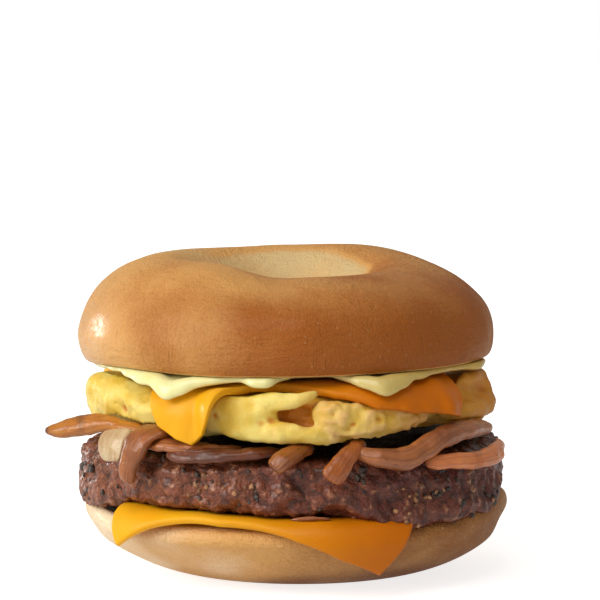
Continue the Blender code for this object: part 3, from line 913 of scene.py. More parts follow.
@dataclass(frozen=True)
class CrustFinish:
    """Baked crust that reads an attribute of its browning, 0 for pale dough to 1 for deep brown, with some
    painted light mixed into it.
    """

    name: str
    pale: Colour
    golden: Colour
    brown: Colour
    gloss: float

    def material(self) -> bpy.types.Material:
        """Wires the browning with its painted light, the pale specks with painted glints, the gloss at the
        far left and the fine relief.

        Returns:
            The material.
        """
        bench = Bench(self.name, self.pale)
        patches = bench.effect(mottle(), Scale=50, Detail=3, Low=0.3, High=0.72)
        flecks = bench.effect(mottle(), Scale=1500, Detail=2, Low=0.42, High=0.62)
        bake = bench.plus(bench.mark("bake"), bench.times(patches, 0.16))
        bake = bench.plus(bake, bench.times(flecks, 0.045))
        bench.over(bench.between(bake, 0.05, 0.5), self.golden)
        bench.over(bench.between(bake, 0.45, 1.0), self.brown)
        # pale specks: partly pale blisters of the crust, partly painted glints on them
        bench.over(bench.effect(dots(), Scale=640, Size=0.26, Chance=0.4), self.pale, 0.26)
        left = bench.between(bench.effect(rightward(), Low=-0.052, High=-0.034), 1.0, 0.0)
        breaks = bench.effect(mottle(), Scale=700, Detail=3, Low=0.35, High=0.6)
        shine = bench.times(left, bench.between(breaks, -0.25, 1.0))
        bench.feed("Coat Weight", bench.plus(bench.times(shine, self.gloss), 0.08))
        bench.settings(Coat_Roughness=0.22, Specular_IOR_Level=0.22)
        bench.roughness(patches, 0.52, 0.66)
        bench.soften(0.06, 1.2 * MM)
        bench.relief(bench.effect(grain(), Coarse=420, Fine=2100, Share=0.5), 0.6 * MM)
        bench.sink(bench.effect(dots(), Scale=620, Size=0.22, Chance=0.4), 0.12 * MM)
        bench.relief(bench.effect(dots(), Scale=900, Size=0.26, Chance=0.25), 0.12 * MM)
        upright = bench.effect(wrinkles(), Level=950, Upright=150)
        level = bench.effect(wrinkles(), Level=190, Upright=1100)
        fields = bench.effect(mottle(), Scale=38, Detail=2, Low=0.45, High=0.58)
        bench.relief(bench.times(upright, fields), 0.6 * MM)
        bench.relief(bench.times(level, bench.between(fields, 0.7, 0.2)), 0.4 * MM)
        return bench.material


@dataclass(frozen=True)
class BeefFinish:
    """Moist ground beef that reads the attribute hollow and the attribute that marks its painted shade inside
    the rim, under the egg.
    """

    name: str = "beef"
    crust: Colour = tint(136, 76, 46)
    purple: Colour = tint(98, 44, 36)
    # char colour, also used for painted shade in the seams, the hollows and under the egg
    char: Colour = tint(46, 22, 16)
    fat: Colour = tint(188, 128, 94)

    def material(self) -> bpy.types.Material:
        """Wires the rosy right side with some painted shade, the char, the fat with some painted highlight,
        and painted shade in the seams between the granules, in the hollows and under the egg.

        Returns:
            The material.
        """
        bench = Bench(self.name, self.crust)
        hollow, covered_shade = bench.mark("hollow"), bench.mark("covered_shade")
        # partly painted shade: the beef turns purple and darker towards the right, partly its own rosier tone
        side = bench.effect(rightward(), Low=-0.045, High=0.03)
        rosy = bench.effect(mottle(), Scale=70, Detail=3, Low=0.38, High=0.64)
        bench.over(bench.plus(bench.times(rosy, 0.35), bench.times(side, 0.65)), self.purple)
        char = bench.effect(mottle(), Scale=150, Detail=5, Low=0.52, High=0.7)
        bench.over(char, self.char, 0.35)
        coarse = bench.effect(domes(), Scale=520, Wander=0.5)
        fine = bench.effect(domes(), Scale=1250, Wander=0.4)
        fat = bench.effect(mottle(), Scale=420, Detail=2, Low=0.52, High=0.66)
        # fat on the granules' tops away from the hollows: partly real fat, partly a painted highlight
        bench.over(bench.times(bench.times(fat, coarse), bench.between(hollow, 0.6, 0.3)), self.fat)
        # painted shade: the seams between the granules and the hollows take the char colour
        bench.over(bench.between(coarse, 0.4, 0.05), self.char, 0.55)
        bench.over(bench.between(hollow, 0.58, 0.95), self.char, 0.75)
        # painted shade: inside the rim, under the egg, the beef is painted as dark as char
        bench.over(covered_shade, self.char)
        bench.settings(Coat_Roughness=0.2, Specular_IOR_Level=0.25)
        bench.feed("Coat Weight", bench.times(bench.between(covered_shade, 0.6, 0.0), 0.4))
        bench.roughness(char, 0.48, 0.72)
        bench.relief(coarse, 0.4 * MM)
        bench.relief(fine, 0.26 * MM)
        return bench.material


@dataclass(frozen=True)
class EggFinish:
    """Soft folded egg that reads the attributes hollow and flaky."""

    name: str = "folded_egg"
    yolk: Colour = tint(221, 186, 70)
    pale: Colour = tint(231, 210, 118)
    # paler cream on the torn fold's curds: partly their own tone, partly a painted highlight
    flake_and_highlight: Colour = tint(238, 204, 134)
    # deep yellow: painted shade in the hollows and the mouth, and also a random darker tone
    deep: Colour = tint(198, 116, 14)
    # painted shade for the right side of the egg
    egg_right_shade: Colour = tint(190, 120, 22)

    def material(self) -> bpy.types.Material:
        """Wires the pale streaks, the paler flakes, the painted shade on the right and the deep yellow
        painted shade in the hollows.

        Returns:
            The material.
        """
        bench = Bench(self.name, self.yolk)
        bench.over(bench.effect(mottle(), Scale=120, Detail=4, Low=0.4, High=0.68), self.pale)
        # partly painted highlight: the raised curds of the torn fold turn paler cream
        bench.over(bench.mark("flaky"), self.flake_and_highlight)
        # painted shade: the egg turns darker and browner towards the right, where less light falls
        bench.over(bench.effect(rightward(), Low=0.0, High=0.065), self.egg_right_shade)
        # painted shade: deep yellow in the hollows and the open mouth, where little light reaches
        bench.over(bench.between(bench.mark("hollow"), 0.62, 1.0), self.deep, 0.85)
        bench.over(bench.effect(mottle(), Scale=65, Detail=2, Low=0.5, High=0.75), self.deep, 0.35)
        bench.settings(Roughness=0.5, Specular_IOR_Level=0.3, Coat_Weight=0.1, Coat_Roughness=0.3)
        bench.soften(0.2, 1.6 * MM, (1.0, 0.55, 0.12))
        bench.relief(bench.effect(grain(), Coarse=520, Fine=1800, Share=0.35), 0.35 * MM)
        bench.sink(bench.effect(dots(), Scale=340, Size=0.24, Chance=0.25), 0.25 * MM)
        return bench.material


@dataclass(frozen=True)
class CheeseFinish:
    """Smooth melted cheese."""

    name: str = "cheese"
    orange: Colour = tint(238, 180, 32)
    deep: Colour = tint(232, 164, 14)
    # painted shade: the colour the cheese takes on towards its right side
    cheese_right_shade: Colour = tint(196, 104, 0)

    def material(self) -> bpy.types.Material:
        """Wires the soft clouds, the painted shade on the right side and a faint grain.

        Returns:
            The material.
        """
        bench = Bench(self.name, self.orange)
        clouds = bench.effect(mottle(), Scale=45, Detail=2, Low=0.35, High=0.7)
        bench.over(clouds, self.deep)
        # painted shade: the cheese turns darker and redder towards the right, where less light falls
        bench.over(bench.effect(rightward(), Low=-0.04, High=0.035), self.cheese_right_shade)
        bench.settings(Specular_IOR_Level=0.16, Coat_Weight=0.07, Coat_Roughness=0.22)
        bench.roughness(clouds, 0.36, 0.44)
        bench.soften(0.15, 1.2 * MM, (1.0, 0.4, 0.06))
        bench.relief(bench.effect(grain(), Coarse=160, Fine=1400, Share=0.2), 0.12 * MM)
        return bench.material


@dataclass(frozen=True)
class SauceFinish:
    """Glossy pale cream sauce."""

    name: str = "sauce"
    cream: Colour = tint(228, 226, 166)
    butter: Colour = tint(222, 214, 140)
    # painted shade for the right side of the sauce
    sauce_right_shade: Colour = tint(198, 165, 78)

    def material(self) -> bpy.types.Material:
        """Wires the buttery clouds, the painted shade on the right side and a faint grain.

        Returns:
            The material.
        """
        bench = Bench(self.name, self.cream)
        clouds = bench.effect(mottle(), Scale=90, Detail=2, Low=0.4, High=0.75)
        bench.over(clouds, self.butter)
        # painted shade: the sauce turns warmer and darker towards the right, where less light falls
        bench.over(bench.effect(rightward(), Low=-0.02, High=0.05), self.sauce_right_shade)
        bench.settings(Specular_IOR_Level=0.4, Coat_Weight=0.35, Coat_Roughness=0.14)
        bench.roughness(clouds, 0.26, 0.36)
        bench.soften(0.2, 1.6 * MM, (1.0, 0.7, 0.3))
        bench.relief(bench.effect(grain(), Coarse=240, Fine=900, Share=0.3), 0.18 * MM)
        return bench.material


@dataclass(frozen=True)
class OnionFinish:
    """Fried onion with fibres along the strip, read from its UV map."""

    name: str
    body: Colour
    fibre: Colour
    seared: Colour
    searing: float

    def material(self) -> bpy.types.Material:
        """Wires the fibres, the browned patches and the seared ends.

        Returns:
            The material.
        """
        bench = Bench(self.name, self.body)
        where = bench.node("TexCoord")["UV"]
        drawn = bench.node("Mapping", {"Vector": where, "Scale": (16.0, 1.6, 1.0)})["Vector"]
        fibres = bench.node("TexNoise", {"Vector": drawn, "Scale": 1.0, "Detail": 3.0})["Fac"]
        along = bench.node("SeparateXYZ", {"Vector": where})["Y"]
        ends = bench.node("Math", {0: along, 1: 0.5}, operation="PINGPONG")["Value"]
        lines = bench.between(fibres, 0.36, 0.68)
        bench.over(lines, self.fibre, 0.7)
        bench.over(bench.effect(mottle(), Scale=85, Detail=2, Low=0.4, High=0.66), self.fibre, 0.6)
        sear = bench.effect(mottle(), Scale=150, Detail=4, Low=0.5, High=0.76)
        sear = bench.times(sear, self.searing)
        tips = bench.times(bench.between(ends, 0.06, 0.0), self.searing)
        specks = bench.effect(dots(), Scale=420, Size=0.2, Chance=0.2)
        bench.over(bench.plus(bench.plus(sear, tips), specks), self.seared)
        bench.settings(Specular_IOR_Level=0.5, Coat_Weight=0.2, Coat_Roughness=0.17)
        bench.roughness(lines, 0.26, 0.38)
        bench.soften(0.3, 1.6 * MM, (1.0, 0.4, 0.1))
        bench.relief(lines, 0.1 * MM)
        bench.relief(bench.effect(grain(), Coarse=500, Fine=1900, Share=0.35), 0.24 * MM)
        return bench.material


@dataclass(frozen=True)
class GrainFinish:
    """Cracked pepper and seeds."""

    name: str
    dark: Colour
    light: Colour

    def material(self) -> bpy.types.Material:
        """Wires the light patches and the grain.

        Returns:
            The material.
        """
        bench = Bench(self.name, self.dark)
        patches = bench.effect(mottle(), Scale=700, Detail=3, Low=0.4, High=0.62)
        bench.over(patches, self.light)
        bench.settings(Coat_Weight=0.3, Coat_Roughness=0.3)
        bench.roughness(patches, 0.45, 0.7)
        bench.relief(bench.effect(grain(), Coarse=1500, Fine=3200, Share=0.4), 0.3 * MM)
        return bench.material


class OnionTone(Enum):
    """How far a strip of onion has been fried."""

    PEARL = OnionFinish("onion_pearl", tint(202, 180, 140), tint(172, 134, 88), tint(140, 84, 38), 0.3)
    TAN = OnionFinish("onion_tan", tint(188, 118, 26), tint(158, 92, 30), tint(76, 34, 14), 0.7)
    BROWN = OnionFinish("onion_brown", tint(160, 92, 34), tint(112, 58, 24), tint(74, 34, 14), 0.5)
    DARK = OnionFinish("onion_dark", tint(112, 50, 16), tint(74, 34, 14), tint(44, 18, 10), 0.5)
    PINK = OnionFinish("onion_pink", tint(174, 106, 56), tint(122, 66, 36), tint(88, 40, 18), 0.4)
    AMBER = OnionFinish("onion_amber", tint(168, 92, 34), tint(132, 68, 32), tint(96, 42, 18), 0.4)
    RED = OnionFinish("onion_red", tint(218, 136, 78), tint(184, 96, 46), tint(120, 52, 22), 0.4)


class Finish(Protocol):
    """What dresses a piece."""

    def material(self) -> bpy.types.Material:
        """The finish's material."""


@dataclass
class Layer:
    """One piece of the sandwich: shaped upright, then settled, dressed and put in the frame."""

    name: str
    nodes: tuple[str, ...]
    slot: str
    finish: Finish

    def mould(self) -> Shape:
        """The piece's upright shape, which each kind of layer makes."""
        raise NotImplementedError

    def build(self) -> bpy.types.Object:
        """Makes the piece.

        Returns:
            The finished object, riding on the sandwich.
        """
        body = self.mould()
        for vertex in body.verts:
            vertex.co = STACK.settled(vertex.co)
        mesh = mesh_of(body, self.name)
        mesh.shade_smooth()
        made = linked(self.name, mesh)
        mesh.materials.append(self.finish.material())
        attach(made, "root")
        if self.nodes:
            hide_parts(*self.nodes)
        return made


@dataclass
class Bread(Layer):
    """Half of the bagel: a turned section, made uneven by place() and coloured by bake(), whose browning also
    carries painted light.
    """

    steps: int = 300

    def outline(self) -> list[tuple]:
        """Radius and height of the section's points, which each half gives."""
        raise NotImplementedError

    def place(self, azimuth: float, radius: float, height: float) -> Vector:
        """Where a point of the turned section goes, which each half gives."""
        raise NotImplementedError

    def bake(self, azimuth: float, radius: float, height: float) -> float:
        """How brown a place is, with any painted light, which each half gives."""
        raise NotImplementedError

    def mould(self) -> Shape:
        """The half's upright shape with its browning and painted light.

        Returns:
            The shape, with its browning and painted light as an attribute.
        """
        body = spin_section(self.outline(), self.steps, True)
        layer = body.verts.layers.float.new("bake")
        for vertex in body.verts:
            azimuth, radius = polar(vertex.co)
            vertex[layer] = self.bake(azimuth, radius, vertex.co.z)
            vertex.co = self.place(azimuth, radius, vertex.co.z)
        return body


@dataclass
class Crown(Bread):
    """The upper half of the bagel, its crest lower at the front and right by front_drop."""

    coarse_swell: float = 1.1 * MM
    fine_swell: float = 0.35 * MM
    wrinkle: float = 0.15 * MM
    front_drop: float = 3.9 * MM
    pale_radius: float = 16.0

    def outline(self) -> list[tuple]:
        """Its section, from the crest down the outer side, under it and up through the hole.

        Returns:
            Radius and height of each point.
        """
        top, wide = (CREST_RADIUS, CROWN_HEIGHT), (CROWN_RADIUS, 4.8 * MM)
        rim, hole, throat = (CROWN_RIM, 0.0), (HOLE_RADIUS, 0.0), (HOLE_RADIUS, 7.0 * MM)
        points = [top] + arc(top, wide, True, 2.05, 72) + arc(wide, rim, False, 2.0, 12)
        points += straight(rim, hole, 24) + straight(hole, throat, 6)
        points += arc(throat, top, False, 1.7, 40)[:-1]
        return [(radius, CROWN_BOTTOM + height) for radius, height in points]

    def place(self, azimuth: float, radius: float, height: float) -> Vector:
        """Where a point of the turned crown goes.

        Args:
            azimuth: degrees round the axis.
            radius: distance from the axis.
            height: height over the table.

        Returns:
            The point, a little uneven above the cut, lower at the front and right.
        """
        above = ease(height - CROWN_BOTTOM, 1 * MM, 9 * MM)
        point = around(azimuth, radius, height)
        swell = rough_at(point, 23 * MM) * self.coarse_swell + rough_at(point, 11 * MM) * self.fine_swell
        outward = 1.5 * ease(radius, CREST_RADIUS - 9 * MM, CREST_RADIUS + 9 * MM) - 0.5
        top = ease(height - CROWN_BOTTOM, 10 * MM, CROWN_HEIGHT)
        turn = (azimuth - 180) % 360
        low = within(turn, 52, 92, 160, 235)
        raised = ((0.7 + 0.5 * bump(azimuth, 150, 90)) * MM - self.front_drop * low) * top
        folds = noise.noise(Vector((azimuth / 11, radius / (1.5 * MM), height / (1.5 * MM))))
        patch = clamp(0.3 + 1.4 * rough_at(point, 20 * MM))
        swell += folds * patch * self.wrinkle
        raised += rim_lift(azimuth, radius) * fade(height - CROWN_BOTTOM, 3 * MM, 14 * MM)
        return around(azimuth, radius + swell * above * outward, height + swell * 0.4 * top + raised)

    def bake(self, azimuth: float, radius: float, height: float) -> float:
        """How brown the crust is at a place, with painted sheen paling the crest's top.

        Args:
            azimuth: degrees round the axis.
            radius: distance from the axis.
            height: height over the table.

        Returns:
            0 for pale dough to 1 for deep brown.
        """
        up = height - CROWN_BOTTOM
        wander = rough_at(around(azimuth, radius, 0.0), 5 * MM) * 0.8 * MM
        back = math.sin(math.radians(azimuth))
        border = self.pale_radius + 4.5 * ease(back, -0.3, 0.25) + 4.5 * ease(back, 0.4, 1.0)
        border = (border + 2.5 * bump(azimuth, 15, 45)) * MM
        inside = fade(radius + wander, border - 2 * MM, border + 2 * MM)
        cut = fade(up, 0.1 * MM, 0.5 * MM)
        right = 0.5 + 0.5 * math.cos(math.radians(azimuth - 330))
        brown = 0.42 + 0.42 * right
        brown += 0.14 * bump(azimuth, 285, 70) * fade(up, 8 * MM, 20 * MM)
        brown += 0.1 * rough_at(around(azimuth, radius, height), 16 * MM)
        # painted sheen: the crest is painted paler near its top, where the light from above falls
        brown -= 0.12 * ease(up, 17 * MM, 25 * MM)
        brown -= 0.14 * bump(azimuth, 208, 34) * fade(up, 4 * MM, 14 * MM)
        return clamp((brown * (1 - inside) + 0.08 * inside) * (1 - cut) + 0.12 * cut)


@dataclass
class Heel(Bread):
    """The lower half of the bagel.

    Its lips are where its upper rim stands up: azimuth, half width and millimetres.
    """

    steps: int = 220
    lips: tuple[Hump, ...] = ((342, 36, 3.3), (354, 26, 1.9), (188, 30, 2.8))

    def outline(self) -> list[tuple]:
        """Its section, from the cut's inner edge out, down to the foot and up the hole.

        Returns:
            Radius and height of each point.
        """
        inner, rim, wide = (HOLE_RADIUS, HEEL_TOP), (52.2 * MM, HEEL_TOP), (BAGEL_RADIUS, 14.2 * MM)
        foot, foot_inner = (HEEL_FOOT, 0.0), (HEEL_FOOT_INNER, 0.0)
        throat = (HOLE_RADIUS, 9.0 * MM)
        points = [inner] + straight(inner, (HEEL_FLAT, HEEL_TOP), 20) + [rim]
        points += arc(rim, wide, True, 2.0, 10) + arc(wide, foot, False, 1.55, 34)
        points += straight(foot, foot_inner, 3) + arc(foot_inner, throat, True, 2.0, 12)
        return points + straight(throat, inner, 4)[:-1]

    def place(self, azimuth: float, radius: float, height: float) -> Vector:
        """Where a point of the turned heel goes.

        Args:
            azimuth: degrees round the axis.
            radius: distance from the axis.
            height: height over the table.

        Returns:
            The point, a little uneven between the foot and the cut.
        """
        free = within(height, 1 * MM, 6 * MM, 11 * MM, 13.5 * MM)
        swell = cloud_at(around(azimuth, radius, height), 25 * MM, 0.5) * 1.3 * MM
        outside = 1.0 if radius > CREST_RADIUS else 0.0
        at_rim = ease(radius, HEEL_FLAT, 53.5 * MM) * ease(height, 8 * MM, 16 * MM)
        lip = humps(azimuth, self.lips) * MM * at_rim
        return around(azimuth, radius - swell * free * outside, height + lip)

    def bake(self, azimuth: float, radius: float, height: float) -> float:
        """How brown the crust is at a place, with painted shade on the heel's right side.

        Args:
            azimuth: degrees round the axis.
            radius: distance from the axis.
            height: height over the table.

        Returns:
            0 for pale dough to 1 for deep brown.
        """
        # partly painted shade: the heel browns strongly towards its right, partly its own bake and partly
        # standing in for the shade on that side
        right = 0.5 + 0.5 * math.cos(math.radians(azimuth - 335))
        brown = 0.04 + 0.72 * right ** 1.3 + 0.25 * fade(height, 0.5 * MM, 6 * MM)
        brown += 0.12 * rough_at(around(azimuth, radius, height), 14 * MM)
        cut = ease(height, HEEL_TOP - 0.2 * MM, HEEL_TOP)
        return clamp(brown * (1 - cut) + 0.12 * cut)


@dataclass
class Patty(Layer):
    """The beef patty: a disc with a craggy side of ground beef.

    Where no cheese holds it up it slumps by slump_drop, and at its left its foot drops by foot_drop.
    """

    steps: int = 560
    granule: float = 3.3 * MM
    crumb: float = 1.25 * MM
    slump_drop: float = 4.2 * MM
    foot_drop: float = 2.6 * MM

    def outline(self) -> list[tuple]:
        """Its section, from the middle of its top out, round its side and back under it.

        Returns:
            Radius and height of each point.
        """
        inside = PATTY_RADIUS - PATTY_ROUND
        top, shoulder = (inside, PATTY_TOP), (PATTY_RADIUS, PATTY_TOP - PATTY_ROUND)
        hip, bottom = (PATTY_RADIUS, PATTY_BOTTOM + PATTY_ROUND), (inside, PATTY_BOTTOM)
        middle, plain, hidden = (0.0, PATTY_TOP), (38 * MM, PATTY_TOP), (44 * MM, PATTY_BOTTOM)
        points = [middle] + straight(middle, plain, 6) + straight(plain, top, 16)
        points += arc(top, shoulder, True, 2.0, 13)
        points += straight(shoulder, hip, 10) + arc(hip, bottom, False, 2.0, 13)
        return points + straight(bottom, hidden, 6) + straight(hidden, (0.0, PATTY_BOTTOM), 4)

    @staticmethod
    def crag_depth(azimuth: float, height: float) -> float:
        """How far the side is broken in by its coarse crags.

        Args:
            azimuth: degrees round the axis.
            height: height over the table.

        Returns:
            The depth.
        """
        point = around(azimuth, PATTY_RADIUS, height)
        coarse = cloud_at(point, 9 * MM, 1.6)
        fine = cloud_at(point, 4.6 * MM, 1.8)
        return (1.0 * coarse + 1.5 * fine + 0.8 * bump(azimuth, 350, 30)) * MM

    def granules(self, point: Vector) -> float:
        """How far ground beef sinks between its granules.

        Args:
            point: a point of the surface.

        Returns:
            The depth, 0 on the granules' tops.
        """
        wander = noise.noise_vector(point / (4.5 * MM)) * 0.55
        near, far = noise.voronoi(point / self.granule + wander)[0][:2]
        seam = fade(far - near, 0.0, 0.35)
        dome = clamp(near * 1.1) ** 2
        crumb = noise.voronoi(point / self.crumb)[0][0]
        chunk = cloud_at(point, 7 * MM, 1.2)
        sunk = 0.75 * seam * chunk + 0.5 * dome + 0.3 * crumb + 0.25 * rough_at(point, 1.0 * MM)
        return sunk * MM * 0.85

    @staticmethod
    def slump(azimuth: float, radius: float, height: float) -> float:
        """How much the lower rim sinks on to the heel, where no cheese holds it up.

        Args:
            azimuth: degrees round the axis.
            radius: distance from the axis.
            height: height over the table.

        Returns:
            0 for not at all to 1 for all the way.
        """
        part = within(azimuth, 279, 299, 334, 350)
        low = fade(height, PATTY_BOTTOM + 2 * MM, PATTY_TOP - 3 * MM)
        return part * low * ease(radius, 49.5 * MM, 53 * MM)

    def place(self, azimuth: float, radius: float, height: float) -> Vector:
        """Where a point of the turned patty goes.

        Args:
            azimuth: degrees round the axis.
            radius: distance from the axis.
            height: height over the table.

        Returns:
            The point, with crags and granules broken in, and its lower rim slumped and spread outwards.
        """
        outer = ease(radius, 40 * MM, 52 * MM)
        crags = self.crag_depth(azimuth, height) * ease(radius, 44 * MM, 53 * MM)
        crags *= 1 - 0.7 * bump(azimuth, 197, 24)
        point = around(azimuth, radius, height)
        inwards = -patty_clearance(point)[1]
        dip = cloud_at(point, 14 * MM, 0.5) * 0.8 * MM
        dip *= ease(height, PATTY_BOTTOM, PATTY_TOP) * (1 - 0.6 * outer)
        ragged = rough_at(around(azimuth, radius, 0.0), 5 * MM) * 0.9 * MM
        ragged *= outer * fade(height, PATTY_BOTTOM, PATTY_BOTTOM + 5 * MM)
        slump = self.slump(azimuth, radius, height)
        rise = max(0.0, ragged) * (1 - slump) - self.slump_drop * slump
        left = bump(azimuth, 197, 26) * outer
        foot = left * fade(height, PATTY_BOTTOM + 1 * MM, PATTY_TOP - 4 * MM)
        spread = (1.8 * slump + 0.8 * left + 1.4 * foot) * MM
        lower = fade(height, PATTY_BOTTOM + 1 * MM, PATTY_TOP)
        rise += 1.1 * MM * bump(azimuth, 230, 40) * outer * lower
        rise -= self.foot_drop * foot
        sunk = around(azimuth, radius - crags * 0.8 + spread, height - dip + rise)
        return sunk + inwards * self.granules(point) * outer

    def mould(self) -> Shape:
        """The patty's upright shape.

        Returns:
            The shape, with the attribute hollow and the attribute that marks the painted shade inside its
            rim.
        """
        body = spin_section(self.outline(), self.steps, False)
        move_each(body, self.place)
        mark_hollows(body, 10, 0.55 * MM)
        # painted shade: 1 inside the rim, where the egg shades the top, falling to 0 at the side
        layer = body.verts.layers.float.new("covered_shade")
        for vertex in body.verts:
            vertex[layer] = fade(math.hypot(vertex.co.x, vertex.co.y), 46 * MM, 53.5 * MM)
        return body


@dataclass
class Grains(Layer):
    """Cracked pepper or seeds bedded in the patty's side."""

    count: int = 100
    size: float = 0.75 * MM
    thickest_at: float = 320
    evenness: float = 0.5
    flatness: float = 0.6
    clusters: tuple[tuple[float, float, int], ...] = ()
    seed: int = SEED

    def spots(self, dice: random.Random) -> list[tuple[float, float, float]]:
        """Where the grains lie.

        Args:
            dice: the seeded source of chance.

        Returns:
            The azimuth, height and size of each grain.
        """
        found = []
        for azimuth, height, number in self.clusters:
            for _ in range(number):
                place = azimuth + dice.gauss(0, 2.4), height * MM + dice.gauss(0, 1.6 * MM)
                found.append((*place, self.size * dice.uniform(0.8, 1.7)))
        while len(found) < self.count:
            azimuth = 360 * dice.random()
            wanted = self.evenness + (1 - self.evenness) * bump(azimuth, self.thickest_at, 45)
            cluster = cloud_at(around(azimuth, PATTY_RADIUS, 0), 12 * MM, 1.5)
            if dice.random() < wanted * cluster:
                height = PATTY_BOTTOM + (1.8 + 11.6 * dice.random()) * MM
                found.append((azimuth, height, self.size * dice.uniform(0.45, 1.15)))
        return found

    def mould(self) -> Shape:
        """All the grains as one upright shape.

        Returns:
            The shape.
        """
        dice = random.Random(self.seed)
        body = bmesh.new()
        patty = Patty("patty_guide", (), "beef", BeefFinish())
        for azimuth, height, size in self.spots(dice):
            rim = PATTY_RADIUS
            rise = abs(height - PATTY_MIDDLE) - PATTY_FLANK
            if rise > 0:
                rim -= PATTY_ROUND - math.sqrt(max(0.0, PATTY_ROUND ** 2 - rise ** 2))
            middle = patty.place(azimuth % 360, rim, height)
            turn = Euler([dice.uniform(0, math.tau) for _ in range(3)]).to_matrix().to_4x4()
            shape = Matrix.Diagonal((size, size * dice.uniform(0.6, 1.0), size * self.flatness, 1.0))
            made = bmesh.ops.create_icosphere(body, subdivisions=1, radius=1.0,
                                              matrix=Matrix.Translation(middle) @ turn @ shape)
            for vertex in made["verts"]:
                vertex.co = middle + (vertex.co - middle) * dice.uniform(0.65, 1.2)
        return body


@dataclass(frozen=True)
class Strand:
    """One strip of onion and its tone.

    Each place of the route is an azimuth, a radius, a height over the patty, a width and a thickness.
    """

    name: str
    tone: OnionTone
    route: tuple[tuple[float, float, float, float, float], ...]

    def places(self, count: int) -> list[tuple[Vector, float, float]]:
        """Reads the strip off its route.

        Args:
            count: how many places to read.

        Returns:
            Middle, half width and half thickness of each place.
        """
        return [(around(a, r * MM, PATTY_TOP + h * MM), wide * MM / 2, thick * MM / 2)
                for a, r, h, wide, thick in curve_through(self.route, count)]


